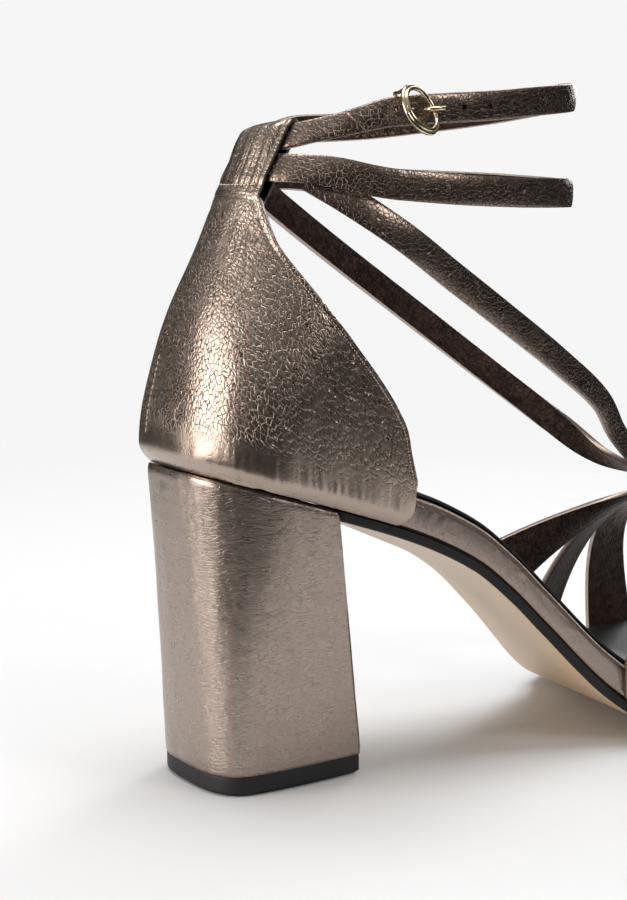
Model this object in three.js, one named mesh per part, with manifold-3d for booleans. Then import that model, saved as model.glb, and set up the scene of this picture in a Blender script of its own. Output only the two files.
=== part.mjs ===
// A right-foot strap sandal on a leather-covered block heel, standing empty on a floor.
// Millimetres. +X points to the toe, +Y to the inner side of the foot, +Z up.
// The origin is the middle of the flat tread under the heel.
// Shapes are worked out in shoe stations: x = 0 just behind the seat, x = SHOE_LENGTH at the toe.
import * as THREE from 'three';
import { mergeVertices } from 'three/addons/utils/BufferGeometryUtils.js';
import Module from 'manifold-3d';

const wasm = await Module();
wasm.setup();

// Driving sizes of the shoe
const SHOE_LENGTH = 221; // floor length, back of the seat to the toe
const BALL_WIDTH = 76; // footbed at its widest
const HEEL_RISE = 77.9; // how far the seat stands above the forepart
const TOE_SPRING = 6.2;
const BALL_SKEW = 0.115; // the inner side bends up further forward, per millimetre across
const SEAM = 0.3; // clearance between pieces that meet on a curve

// Walls and thicknesses
const OUTSOLE_THICKNESS = 2.3;
const OUTSOLE_CROWN = 0.6; // the waist is slightly rounded across
const FOOTBED_THICKNESS = 7.4;
const FOOTBED_SHANK_GAIN = 1.9; // thicker, measured upright, where the shank slopes
const SOCK_THICKNESS = 1.2;
const SOCK_CROWN = 2.0; // padding in the middle of the sock
const SOCK_MARGIN = 1.3; // rim of the footbed left bare round the sock
const COUNTER_WALL = 1.8;
const COUNTER_CORNER = 5; // its front lower corner is rounded off
const VAMP_THICKNESS = 1.8;
const STRAP_WIDTH = 7;
const STRAP_THICKNESS = 1.6;

// Heel block and its tread
const HEEL_TREAD_LENGTH = 41;
const HEEL_TREAD_WIDTH = 37;
const HEEL_TREAD_BACK = 9; // station of the tread's back edge
const HEEL_SEAT_BREAST = 38.4; // station of the breast at the seat
const HEEL_INSET = 0.4; // the block's top stands this far inside the footbed
const LIFT_THICKNESS = 4.9;
const LIFT_FLARE = 0.35; // the lift stands this far inside the leather
const LIFT_CHAMFER = 0.6;

// Back part: counter with the loop that the straps run through
const SEAT_BACK = 5; // station of the footbed's back edge
const COUNTER_REACH = 54.7; // counter's length along the seat, from its back line
const COUNTER_HEIGHT = 65.6; // back line, seat to the seam below the loop
const LOOP_HEIGHT = 16.3; // seam to the top fold
const LOOP_WIDTH = 20; // across the back, at the seam
const LOOP_TOP_WIDTH = 18.4;
const LOOP_WALL = 0.9;
const LOOP_GAP = 3; // room for the straps, front to back
const LOOP_LEAN = 30 * Math.PI / 180; // the loop leans forward over the tendon
const LOOP_TILT = 0.13; // its top falls towards the inner side, per millimetre across

// Ankle straps
const ANKLE_FRONT = 124.8; // station of the straps' front
const ANKLE_WIDTH = 57; // outside the loop
const ANKLE_BACK_LENGTH = 47; // from the back line to the widest station
const STRAP_DROP = 0.2; // the pair of straps hangs this much below the loop's middle
const STRAP_STACK_GAP = 0.35; // between the two straps in the loop
const UPPER_STRAP = { frontRise: 11.8, loopTilt: 0.1, sideTilt: 0.075 };
const LOWER_STRAP = { frontRise: -6.6, loopTilt: 0.045, sideTilt: -0.03 };

// Buckle
const RING_DIAMETER = 12.2; // between the middles of the wire
const RING_WIRE = 1.05;
const RING_PAIR_STEP = 0.75; // the frame is a pair of rings, one inside the other
const BUCKLE_STATION = 57.4; // where it sits on the outer side
const RING_TILT = 44 * Math.PI / 180; // the ring's heel side stands off the strap
const RING_TWIST = 35 * Math.PI / 180; // its high side is also its lower side
const PRONG_WIRE = 1;
const PRONG_REACH = 3.1;
const TIP_OVERLAP = 12.4; // strap end past the buckle's middle, along its lower edge
const TIP_SLANT = 8.9; // its upper edge reaches further

// Vamp and the strap from its keeper up to the ankle
const KEEPER_STATION = 0.751 * SHOE_LENGTH;
const KEEPER_LENGTH = 16.2;
const KEEPER_WIDTH = 7;
const KEEPER_WALL = 1.4;
const VAMP_RISE = 46; // middle of the vamp over the footbed
const ARCH_FULLNESS = 0.76; // under 1 the bands bulge over the foot
const BAND_FOOT_WIDTH = 16.5;
const BAND_KEEPER_WIDTH = 8.4;
const THROAT_STRAP_START = 12; // its ends lie this far in front of the back line

// Shares of SHOE_LENGTH (along) and HEEL_RISE (rise): underside of the footbed
const SEAT_PROFILE = [
  { along: -0.03, rise: 1.026 },
  { along: 0.0, rise: 1.0 },
  { along: 0.1, rise: 0.917 },
  { along: 0.19, rise: 0.837 },
  { along: 0.25, rise: 0.779 },
  { along: 0.308, rise: 0.712 },
  { along: 0.362, rise: 0.629 },
  { along: 0.407, rise: 0.524 },
  { along: 0.452, rise: 0.396 },
  { along: 0.498, rise: 0.259 },
  { along: 0.534, rise: 0.164 },
  { along: 0.57, rise: 0.09 },
  { along: 0.606, rise: 0.04 },
  { along: 0.643, rise: 0.011 },
  { along: 0.679, rise: 0.0 },
  { along: 1.02, rise: 0.0 },
];

// Shares of SHOE_LENGTH and TOE_SPRING: lift of the forepart towards the toe
const TOE_PROFILE = [
  { along: 0.0, lift: 0.0 },
  { along: 0.76, lift: 0.0 },
  { along: 0.82, lift: 0.09 },
  { along: 0.88, lift: 0.3 },
  { along: 0.94, lift: 0.62 },
  { along: 1.02, lift: 1.1 },
];

// Shares of SHOE_LENGTH and BALL_WIDTH: middle line and half width of the footbed, round ends left off
const FOOT_OUTLINE = [
  { along: 0.0, middle: 0.0, half: 0.324 },
  { along: 0.127, middle: 0.0, half: 0.324 },
  { along: 0.204, middle: -0.013, half: 0.317 },
  { along: 0.29, middle: -0.038, half: 0.293 },
  { along: 0.362, middle: -0.06, half: 0.274 },
  { along: 0.43, middle: -0.094, half: 0.262 },
  { along: 0.498, middle: -0.12, half: 0.285 },
  { along: 0.566, middle: -0.108, half: 0.352 },
  { along: 0.633, middle: -0.062, half: 0.435 },
  { along: 0.701, middle: -0.02, half: 0.488 },
  { along: 0.76, middle: 0.004, half: 0.5 },
  { along: 0.824, middle: 0.026, half: 0.482 },
  { along: 0.887, middle: 0.048, half: 0.452 },
  { along: 0.95, middle: 0.066, half: 0.418 },
  { along: 1.02, middle: 0.082, half: 0.38 },
];

// Shares of COUNTER_HEIGHT (up) and BACK_LEAN (forward): the counter's back line
const BACK_LEAN = 30;
const BACK_LINE = [
  { up: -0.05, forward: 0.02 },
  { up: 0.05, forward: -0.005 },
  { up: 0.154, forward: 0.01 },
  { up: 0.26, forward: 0.045 },
  { up: 0.369, forward: 0.1 },
  { up: 0.546, forward: 0.213 },
  { up: 0.76, forward: 0.417 },
  { up: 1.0, forward: 0.645 },
];

// Shares of COUNTER_REACH (along) and COUNTER_HEIGHT (up): the counter's top edge, loop to front
const TOP_EDGE = [
  { along: 0.0, up: 1.0 },
  { along: 0.05, up: 0.985 },
  { along: 0.085, up: 0.93 },
  { along: 0.12, up: 0.872 },
  { along: 0.17, up: 0.805 },
  { along: 0.22, up: 0.755 },
  { along: 0.4, up: 0.611 },
  { along: 0.61, up: 0.45 },
  { along: 0.82, up: 0.279 },
  { along: 0.9, up: 0.197 },
  { along: 0.96, up: 0.111 },
  { along: 1.0, up: -0.06 },
];

// Shares of HEEL_TREAD_LENGTH and of half HEEL_TREAD_WIDTH: the tread narrows to the breast
const TREAD_OUTLINE = [
  { along: 0.0, half: 1.0 },
  { along: 0.32, half: 1.0 },
  { along: 0.55, half: 0.99 },
  { along: 0.8, half: 0.945 },
  { along: 1.0, half: 0.89 },
];

// Vamp bands: stations of both feet and of the keeper as shares of SHOE_LENGTH, and their layers there
const VAMP_BANDS = [
  { outer: 0.8, inner: 0.805, keeper: 0.761, layer: 0 },
  { outer: 0.69, inner: 0.655, keeper: 0.752, layer: 1 },
  { outer: 0.58, inner: 0.51, keeper: 0.743, layer: 2 },
];

// Throat strap, shares of the way from the ankle strap (0) to the keeper (1): fall and distance from the
// middle (a share of ANKLE_WIDTH) of its outer and inner half, and roll from facing sideways to facing up
const THROAT_PATH = [
  { way: 0.0, outerFall: -0.012, outerOff: 0.235, innerFall: 0.005, innerOff: 0.24, roll: 0 },
  { way: 0.06, outerFall: 0.055, outerOff: 0.34, innerFall: 0.058, innerOff: 0.3, roll: 0 },
  { way: 0.16, outerFall: 0.156, outerOff: 0.405, innerFall: 0.151, innerOff: 0.359, roll: 0 },
  { way: 0.275, outerFall: 0.267, outerOff: 0.383, innerFall: 0.26, innerOff: 0.404, roll: 0.02 },
  { way: 0.41, outerFall: 0.389, outerOff: 0.333, innerFall: 0.394, innerOff: 0.42, roll: 0.06 },
  { way: 0.595, outerFall: 0.555, outerOff: 0.245, innerFall: 0.588, innerOff: 0.4, roll: 0.15 },
  { way: 0.72, outerFall: 0.687, outerOff: 0.194, innerFall: 0.724, innerOff: 0.363, roll: 0.25 },
  { way: 0.78, outerFall: 0.803, outerOff: 0.168, innerFall: 0.795, innerOff: 0.328, roll: 0.35 },
  { way: 0.88, outerFall: 0.936, outerOff: 0.16, innerFall: 0.915, innerOff: 0.235, roll: 0.7 },
  { way: 1.0, outerFall: 0.99, outerOff: 0.16, innerFall: 0.99, innerOff: 0.17, roll: 1 },
];

// Shares of each ankle strap's rise at shares of the half turn from the back to the front
const RING_RISE = [
  { turn: 0.0, upper: 0.0, lower: 0.0 },
  { turn: 0.104, upper: 0.05, lower: 0.02 },
  { turn: 0.213, upper: 0.24, lower: 0.136 },
  { turn: 0.344, upper: 0.44, lower: 0.37 },
  { turn: 0.519, upper: 0.55, lower: 0.65 },
  { turn: 0.645, upper: 0.69, lower: 0.79 },
  { turn: 0.8, upper: 0.85, lower: 0.89 },
  { turn: 0.904, upper: 0.945, lower: 0.96 },
  { turn: 1.0, upper: 1.0, lower: 1.0 },
];

const lerp = (a, b, t) => a + (b - a) * t;
const clamp01 = (t) => Math.min(1, Math.max(0, t));
const ease = (t) => clamp01(t) ** 2 * (3 - 2 * clamp01(t));
const steps = (count, make) => Array.from({ length: count + 1 }, (_, i) => make(i / count, i));

// Reads a table smoothly: a cubic through its rows that never overshoots them.
function read(table, key, column, at) {
  const last = table.length - 1;
  if (at <= table[0][key]) return table[0][column];
  if (at >= table[last][key]) return table[last][column];
  const i = table.findIndex((row) => row[key] > at) - 1;
  const slope = (k) =>
    (table[k + 1][column] - table[k][column]) / (table[k + 1][key] - table[k][key]);
  const tangent = (k) => {
    if (k === 0) return slope(0);
    if (k === last) return slope(last - 1);
    const [before, after] = [slope(k - 1), slope(k)];
    return before * after <= 0 ? 0 : (2 * before * after) / (before + after);
  };
  const span = table[i + 1][key] - table[i][key];
  const t = (at - table[i][key]) / span;
  return (2 * t ** 3 - 3 * t ** 2 + 1) * table[i][column] + (t ** 3 - 2 * t ** 2 + t) * span * tangent(i)
    + (3 * t ** 2 - 2 * t ** 3) * table[i + 1][column] + (t ** 3 - t ** 2) * span * tangent(i + 1);
}

// A closed mesh through rings of points with equal counts. The end rings are capped, or joined if endless.
function loft(rings, endless = false) {
  const count = rings[0].length;
  const points = rings.flat();
  const faces = [];
  for (let r = 0; r + (endless ? 0 : 1) < rings.length; r++) {
    const next = ((r + 1) % rings.length) * count;
    for (let i = 0; i < count; i++) {
      const j = (i + 1) % count;
      faces.push([r * count + i, r * count + j, next + j], [r * count + i, next + j, next + i]);
    }
  }
  if (endless) return solid(points, faces);
  const cap = (start, flip) => {
    for (let i = 0; i < count / 2 - 1; i++) {
      const [a, b, c, d] = [i, i + 1, count - 2 - i, count - 1 - i].map((k) => start + k);
      const quad = b === c ? [[a, b, d]] : [[a, b, c], [a, c, d]];
      quad.forEach((face) => faces.push(flip ? face.reverse() : face));
    }
  };
  cap(0, true);
  cap((rings.length - 1) * count, false);
  return solid(points, faces);
}

// A sheet with a wall: surface(u, v) offset along its normal by 'over' and by 'under'
function sheet(surface, us, vs, over, under, endless = false) {
  const step = 1e-4;
  const offset = (u, v, depth) => {
    const alongU = surface(u + step, v).sub(surface(u - step, v));
    const alongV = surface(u, v + step).sub(surface(u, v - step));
    return surface(u, v).addScaledVector(alongU.cross(alongV).normalize(), depth);
  };
  return loft(us.map((u) => [
    ...vs.map((v) => offset(u, v, over)),
    ...vs.map((v) => offset(u, v, -under)).reverse(),
  ]), endless);
}

// A manifold solid from points and faces, turned so that its faces point out.
function solid(points, faces) {
  const make = (list) => {
    const geometry = new THREE.BufferGeometry();
    const places = points.flatMap((p) => [p.x, p.y, p.z]);
    geometry.setAttribute('position', new THREE.Float32BufferAttribute(places, 3));
    geometry.setIndex(list.flat());
    const merged = mergeVertices(geometry, 1e-4);
    return new wasm.Manifold(new wasm.Mesh({
      numProp: 3,
      vertProperties: merged.attributes.position.array,
      triVerts: new Uint32Array(merged.index.array),
    }));
  };
  const made = make(faces);
  return made.volume() > 0 ? made : make(faces.map(([a, b, c]) => [a, c, b]));
}

function geometryOf(manifold) {
  const mesh = manifold.getMesh();
  const geometry = new THREE.BufferGeometry();
  geometry.setAttribute('position', new THREE.BufferAttribute(new Float32Array(mesh.vertProperties), 3));
  geometry.setIndex(new THREE.BufferAttribute(new Uint32Array(mesh.triVerts), 1));
  geometry.computeVertexNormals();
  return geometry;
}

// The last: underside, outline and round ends of the footbed
const share = (x) => x / SHOE_LENGTH;
const treadHeight = OUTSOLE_THICKNESS + SEAM;
const seatZ = (x) =>
  treadHeight + HEEL_RISE * read(SEAT_PROFILE, 'along', 'rise', share(x))
  + TOE_SPRING * read(TOE_PROFILE, 'along', 'lift', share(x));
// The sole bends further forward on the inner side: the station whose height counts at x, y
const OUTER_BALL = -0.37 * BALL_WIDTH;
const bend = (x, y) => x - BALL_SKEW * ease((x - 68) / 27) * (y - OUTER_BALL);
const seatSlope = (x) => seatZ(x + 0.5) - seatZ(x - 0.5);
const upright = (x) => Math.hypot(1, seatSlope(x)); // vertical length of one millimetre of thickness
const steep = (x) => clamp01(-seatSlope(x) / 0.45);
const footbedDepth = (x) => FOOTBED_THICKNESS + FOOTBED_SHANK_GAIN * steep(x);
const footbedTop = (x) => seatZ(x) + footbedDepth(x);
const baseAt = (x, y) => seatZ(x) + seatZ(bend(x, y)) - seatZ(bend(x, OUTER_BALL));
const topAt = (x, y) => baseAt(x, y) + footbedDepth(bend(x, y));

const HEEL_ROUND = { length: 22, power: 2.5 };
const TOE_ROUND = { length: 42, power: 2.25 };
const roundEnd = (distance, { length, power }) =>
  distance >= length ? 1 : (1 - (1 - clamp01(distance / length)) ** power) ** (1 / power);
const middleY = (x) => BALL_WIDTH * read(FOOT_OUTLINE, 'along', 'middle', share(x));
const halfWidth = (x) => BALL_WIDTH * read(FOOT_OUTLINE, 'along', 'half', share(x));
// Distance from the heel's axis to the edge: side is -1 on the outer side and 1 on the inner
const edgeY = (x, side, grown = 0) =>
  middleY(x) + side * (halfWidth(x) + grown)
  * roundEnd(x - SEAT_BACK + grown, HEEL_ROUND) * roundEnd(SHOE_LENGTH - x + grown, TOE_ROUND);

// Stations close together at both round ends, the same for every layer of the sole
const STATIONS = steps(46, (t) =>
  lerp(SEAT_BACK, SHOE_LENGTH, t - (0.93 * Math.sin(2 * Math.PI * t)) / (2 * Math.PI)));
const stations = (from, to) => [from, ...STATIONS.filter((x) => x > from + 0.4 && x < to - 0.4), to];

const BLUNT_TIP = 0.12; // the round ends close with a flat this far in

function footbed() {
  const tuck = 1.9; // the wrapped edge rounds in under the board
  return loft(stations(SEAT_BACK + BLUNT_TIP, SHOE_LENGTH - BLUNT_TIP).map((x) => {
    const at = (side, inset, up) => {
      const edge = edgeY(x, Math.sign(side), -inset * roundness(x));
      const y = lerp(middleY(x), edge, Math.abs(side));
      return new THREE.Vector3(x, y, lerp(baseAt(x, y), topAt(x, y), up));
    };
    return [
      at(-1, tuck, 0), at(-1, 0.4, 0.28), at(-1, 0, 0.6), at(-1, 0.5, 1), at(-0.3, 0, 1),
      at(0.3, 0, 1), at(1, 0.5, 1), at(1, 0, 0.6), at(1, 0.4, 0.28), at(1, tuck, 0),
      at(0.3, 0, 0), at(-0.3, 0, 0),
    ];
  }));
}
// Insets fade out at the very tips, where the outline has no width to take them from
const roundness = (x) => roundEnd(x - SEAT_BACK, HEEL_ROUND) * roundEnd(SHOE_LENGTH - x, TOE_ROUND);

function outsole() {
  const treadBreast = HEEL_TREAD_BACK + HEEL_TREAD_LENGTH;
  const depthAtBreast = (OUTSOLE_THICKNESS * upright(HEEL_SEAT_BREAST) + 2 * SEAM) / seatZ(HEEL_SEAT_BREAST);
  const start = HEEL_SEAT_BREAST + SEAM + (treadBreast - HEEL_SEAT_BREAST) * depthAtBreast;
  const crown = (x) => OUTSOLE_CROWN * ease((x - start - 6) / 20) * (1 - ease((share(x) - 0.46) / 0.1));
  const margin = 0.3; // the footbed overhangs the sole by this much
  return loft(stations(start, SHOE_LENGTH - BLUNT_TIP).map((x) => {
    const at = (side, reach, level, bulge) => {
      const y = lerp(middleY(x), edgeY(x, side, -margin * roundness(x)), reach);
      const z = baseAt(x, y) - SEAM - level * OUTSOLE_THICKNESS * upright(bend(x, y)) - bulge * crown(x);
      return new THREE.Vector3(x, y, z);
    };
    return [
      at(-1, 1, 0, 0), at(-1, 1, 1, 0), at(-1, 0.6, 1, 0.8), at(-1, 0.2, 1, 1),
      at(1, 0.2, 1, 1), at(1, 0.6, 1, 0.8), at(1, 1, 1, 0), at(1, 1, 0, 0),
      at(1, 0.3, 0, 0), at(-1, 0.3, 0, 0),
    ];
  }));
}

function sock() {
  const tip = SOCK_MARGIN + 0.4;
  return loft(stations(SEAT_BACK + tip, SHOE_LENGTH - tip).map((x) => {
    const at = (reach, up) => {
      const side = Math.sign(reach);
      const y = lerp(middleY(x), edgeY(x, side, -SOCK_MARGIN), Math.abs(reach));
      const z = topAt(x, y) + 1.8 * SEAM + up * roundEnd(x - SEAT_BACK - SOCK_MARGIN + 0.2, HEEL_ROUND);
      return new THREE.Vector3(x, y, z);
    };
    const pad = SOCK_THICKNESS + SOCK_CROWN;
    return [
      at(-1, 0), at(-1, SOCK_THICKNESS * 0.6), at(-0.82, pad * 0.75), at(-0.35, pad),
      at(0.35, pad), at(0.82, pad * 0.75), at(1, SOCK_THICKNESS * 0.6), at(1, 0), at(0.3, 0), at(-0.3, 0),
    ];
  }));
}

// Heel block: straight lines from the seat's outline to the tread's outline
const TREAD_ROUND = { length: 12, power: 2.9 };
const treadEdge = (t, side, inset = 0) => new THREE.Vector3(
  lerp(HEEL_TREAD_BACK + inset, HEEL_TREAD_BACK + HEEL_TREAD_LENGTH - inset, t),
  side * (HEEL_TREAD_WIDTH / 2 * read(TREAD_OUTLINE, 'along', 'half', t) - inset)
  * roundEnd(t * HEEL_TREAD_LENGTH + 0.01, TREAD_ROUND), 0);
const seatEdge = (t, side) => {
  const x = lerp(SEAT_BACK + HEEL_INSET + 0.05, HEEL_SEAT_BREAST, t);
  return new THREE.Vector3(x, edgeY(x, side, -HEEL_INSET), seatZ(x) - SEAM);
};
const heelSteps = steps(18, (t) => t ** 2.2);

function heelBlock() {
  const foot = (t, side) => treadEdge(t, side).setZ(LIFT_THICKNESS);
  return loft(heelSteps.map((t) => [
    foot(t, -1), foot(t, -1).lerp(seatEdge(t, -1), 0.5), seatEdge(t, -1),
    seatEdge(t, 1), foot(t, 1).lerp(seatEdge(t, 1), 0.5), foot(t, 1),
  ]));
}

function topLift() {
  const edge = (t, side) => [
    treadEdge(t, side, LIFT_FLARE + LIFT_CHAMFER),
    treadEdge(t, side, LIFT_FLARE).setZ(LIFT_CHAMFER),
    treadEdge(t, side, LIFT_FLARE).setZ(LIFT_THICKNESS),
  ];
  return loft(heelSteps.map((t) => [...edge(t, -1), ...edge(t, 1).reverse()]));
}

// Counter: a leaning U, given by the back line, the width at each height and the round of its back
const seatBackZ = seatZ(SEAT_BACK);
const loopSeamZ = seatBackZ + COUNTER_HEIGHT;
const loopTopZ = loopSeamZ + LOOP_HEIGHT;
const counterOffset = COUNTER_WALL + SEAM;
const backX = (z) => {
  const up = (z - seatBackZ) / COUNTER_HEIGHT;
  const line = SEAT_BACK - counterOffset + BACK_LEAN * read(BACK_LINE, 'up', 'forward', Math.min(up, 1));
  return line + Math.max(0, z - loopSeamZ) * Math.tan(LOOP_LEAN);
};
const ankleBack = (z) => ease((z - seatBackZ) / COUNTER_HEIGHT); // 0 at the seat, 1 at the ankle
function counterPoint(along, z, side) {
  const x = backX(z) + along;
  const rise = ankleBack(z);
  const round = {
    length: lerp(HEEL_ROUND.length, ANKLE_BACK_LENGTH, rise),
    power: lerp(HEEL_ROUND.power, 2, rise),
  };
  const tuckedIn = 1.2 * (1 - clamp01((z - seatZ(x)) / 4)) ** 2 * clamp01(along / HEEL_ROUND.length);
  const swell = 1.6 * Math.sin(Math.PI * clamp01((z - seatZ(x)) / 50));
  const seatHalf = halfWidth(x) + side * middleY(x) + counterOffset + swell - tuckedIn;
  const half = lerp(seatHalf, ANKLE_WIDTH / 2, rise);
  return new THREE.Vector3(x, side * half * roundEnd(along, round), z);
}
const outward = (along, z, side) => {
  const step = 0.05;
  const forward = counterPoint(along + step, z, side).sub(counterPoint(Math.max(0, along - step), z, side));
  const up = counterPoint(along, z + step, side).sub(counterPoint(along, z - step, side));
  return along < step ? new THREE.Vector3(-up.z, 0, up.x).normalize()
    : forward.cross(up).multiplyScalar(-side).normalize();
};
const inside = (along, z, side, depth) =>
  counterPoint(along, z, side).addScaledVector(outward(along, z, side), -depth);

// Columns of the counter, from the front edge of one side round the back to the other
const sweepBack = (reach, count, bunch) =>
  steps(2 * count, (_, i) => ({
    side: i < count ? -1 : 1,
    along: reach * (Math.abs(i - count) / count) ** bunch,
  }));

function counterShell() {
  const rows = 12;
  const columns = sweepBack(COUNTER_REACH, 22, 1.75);
  return loft(columns.map(({ side, along }) => {
    const seatedX = backX(seatZ(along)) + along;
    const corner = COUNTER_CORNER * clamp01((along / COUNTER_REACH - 0.92) / 0.08) ** 2;
    const base = seatZ(seatedX) + corner;
    const top = seatBackZ + COUNTER_HEIGHT * read(TOP_EDGE, 'along', 'up', along / COUNTER_REACH);
    const level = (v) => lerp(base, Math.max(top, base + 2), v);
    const outer = steps(rows, (v) => counterPoint(along, level(v), side));
    const inner = steps(rows, (v) => inside(along, level(v), side, COUNTER_WALL));
    return [...outer, ...inner.reverse()];
  }));
}

// Loop at the top of the counter, folded over and stitched down: a flat sleeve open at both sides
const loopAlong = (span) => ANKLE_BACK_LENGTH * (1 - Math.sqrt(1 - (span / ANKLE_WIDTH) ** 2));
const leanDirection = new THREE.Vector3(Math.sin(LOOP_LEAN), 0, Math.cos(LOOP_LEAN));
function sleeve(from, to, outerDepth, innerDepth, extra) {
  const heights = steps(3, (v) => lerp(from, to, v));
  const columns = sweepBack(1, 9, 1);
  const point = ({ side, along }, z, depth) => {
    const up = (z - loopSeamZ) / LOOP_HEIGHT;
    const reach = loopAlong(lerp(LOOP_WIDTH, LOOP_TOP_WIDTH, clamp01(up)) + extra) * along ** 2;
    const tilt = -LOOP_TILT * counterPoint(reach, z, side).y * Math.max(0, up);
    return inside(reach, z, side, depth).addScaledVector(leanDirection, tilt / Math.cos(LOOP_LEAN));
  };
  return loft(columns.map((column) => [
    ...heights.map((z) => point(column, z, outerDepth)),
    ...heights.map((z) => point(column, z, innerDepth)).reverse(),
  ]));
}

const loopFold = LOOP_WALL / Math.cos(LOOP_LEAN);
function counter() {
  const body = sleeve(loopSeamZ - 1.5, loopTopZ, 0, 2 * LOOP_WALL + LOOP_GAP, 0);
  const slot = sleeve(loopSeamZ + loopFold, loopTopZ - loopFold, LOOP_WALL, LOOP_WALL + LOOP_GAP, 8);
  return counterShell().add(body).subtract(slot);
}

// Ankle straps: rings round the ankle that lean with the loop at the back and stand upright elsewhere
const loopMiddleZ = (loopSeamZ + loopTopZ) / 2 - STRAP_DROP;
const strapPitch = (STRAP_WIDTH + STRAP_STACK_GAP) * Math.cos(LOOP_LEAN);
const strapDepth = LOOP_WALL + LOOP_GAP / 2;
const UPPER = { ...UPPER_STRAP, backZ: loopMiddleZ + strapPitch / 2, column: 'upper' };
const LOWER = { ...LOWER_STRAP, backZ: loopMiddleZ - strapPitch / 2, column: 'lower' };
const ringTurn = (ring, station) => Math.acos(1 - (station - backX(ring.backZ)) / ANKLE_BACK_LENGTH);

// turn is 0 at the back and grows round the outer side; up runs across the strap
function ringPoint(ring, turn, up, layer = 0) {
  const back = backX(ring.backZ);
  const nearLoop = 1 - ease((1 - Math.cos(turn) - 0.14) / 0.5);
  const lean = LOOP_LEAN * nearLoop;
  const length = Math.cos(turn) > 0 ? ANKLE_BACK_LENGTH : ANKLE_FRONT - back - ANKLE_BACK_LENGTH;
  const away = Math.acos(Math.cos(turn)) / Math.PI;
  const y = -Math.sin(turn) * ANKLE_WIDTH / 2;
  const lift = ring.frontRise * read(RING_RISE, 'turn', ring.column, away)
    - y * lerp(ring.sideTilt, ring.loopTilt, nearLoop);
  const out = new THREE.Vector3(-Math.cos(turn) * ANKLE_WIDTH / 2, -Math.sin(turn) * length, 0).normalize();
  return new THREE.Vector3(back + ANKLE_BACK_LENGTH - length * Math.cos(turn), y, ring.backZ)
    .add(new THREE.Vector3(Math.sin(lean), 0, Math.cos(lean)).multiplyScalar(up + lift * Math.cos(lean)))
    .addScaledVector(out, layer);
}
const acrossStrap = [-STRAP_WIDTH / 2, STRAP_WIDTH / 2];

function ankleStrapLower() {
  const turns = steps(64, (t) => t * 2 * Math.PI).slice(0, -1);
  return sheet((turn, up) => ringPoint(LOWER, turn, up), turns, acrossStrap,
    -strapDepth + STRAP_THICKNESS / 2, strapDepth + STRAP_THICKNESS / 2, true);
}

// One strap from the buckle's bar back through the loop, round the front and out through the buckle
const buckleTurn = ringTurn(UPPER, BUCKLE_STATION);
const turnPerMm = 1 / (ANKLE_BACK_LENGTH * 0.97);
const lapLayer = STRAP_THICKNESS + SEAM;
const lap = (turn) => lapLayer * ease((turn - 1.3 * Math.PI) / (0.4 * Math.PI));
function ankleStrapUpper() {
  const barTurn = buckleTurn - (RING_DIAMETER / 2 - 1.4) * turnPerMm;
  const tipTurn = 2 * Math.PI - buckleTurn + TIP_OVERLAP * turnPerMm;
  const surface = (u, up) => {
    const slant = (up / STRAP_WIDTH + 0.5) * TIP_SLANT * turnPerMm;
    const turn = lerp(-barTurn, tipTurn + slant, u);
    return ringPoint(UPPER, -turn, up, lap(turn));
  };
  return sheet(surface, steps(70, (t) => t), acrossStrap,
    strapDepth + STRAP_THICKNESS / 2, -strapDepth + STRAP_THICKNESS / 2);
}

// Vamp: bands from one edge of the footbed over the foot to the other, gathered under the keeper
const keeperZ = footbedTop(KEEPER_STATION) + VAMP_RISE;
const bandLayer = VAMP_THICKNESS * 0.8;
function vampBand({ outer, inner, keeper, layer }) {
  const surface = (u, across) => {
    const side = u < 0.5 ? -1 : 1;
    const climb = 1 - Math.abs(2 * u - 1); // 0 at the footbed's underside, 1 at the keeper
    const straight = 0.16; // share of the climb that lies against the footbed
    const station = (side < 0 ? outer : inner) * SHOE_LENGTH + across * BAND_FOOT_WIDTH;
    const stand = 2 * SEAM + VAMP_THICKNESS / 2;
    const y = edgeY(station, side, stand);
    const rim = topAt(station, y);
    if (climb < straight) {
      return new THREE.Vector3(station, y, lerp(baseAt(station, y), rim, climb / straight));
    }
    const arc = ((climb - straight) / (1 - straight)) * Math.PI / 2;
    const top = keeper * SHOE_LENGTH + across * BAND_KEEPER_WIDTH;
    const lift = lerp(rim, keeperZ + layer * bandLayer, Math.sin(arc) ** ARCH_FULLNESS);
    return new THREE.Vector3(lerp(station, top, Math.sin(arc)), y * Math.cos(arc) ** ARCH_FULLNESS, lift);
  };
  const climbs = [0, 0.159, 0.161, ...steps(11, (t) => 0.161 + 0.839 * t).slice(1)];
  const us = [...climbs.map((c) => c / 2), ...climbs.slice(0, -1).reverse().map((c) => 1 - c / 2)];
  return sheet(surface, us, [-0.5, -0.17, 0.17, 0.5], VAMP_THICKNESS / 2, VAMP_THICKNESS / 2);
}
const vampStraps = () => VAMP_BANDS.map(vampBand).reduce((all, band) => all.add(band));

// Keeper: a flat loop round the gathered bands, with room on top for the throat strap
const bandsTop = keeperZ + (VAMP_BANDS.length - 1) * bandLayer + VAMP_THICKNESS / 2;
const box = (sizeX, sizeY, sizeZ) => wasm.Manifold.cube([sizeX, sizeY, sizeZ], true);
const throatStrapZ = bandsTop + SEAM + STRAP_THICKNESS / 2;
function vampKeeper() {
  const base = keeperZ - VAMP_THICKNESS / 2 - 2.5 * SEAM;
  const top = throatStrapZ + STRAP_THICKNESS / 2 + SEAM;
  const middle = (base + top) / 2;
  const outer = box(KEEPER_LENGTH + 2 * KEEPER_WALL, KEEPER_WIDTH, top - base + 2 * KEEPER_WALL);
  const hollow = box(KEEPER_LENGTH, KEEPER_WIDTH + 1, top - base);
  return outer.subtract(hollow).translate(KEEPER_STATION, 0, middle);
}

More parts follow.
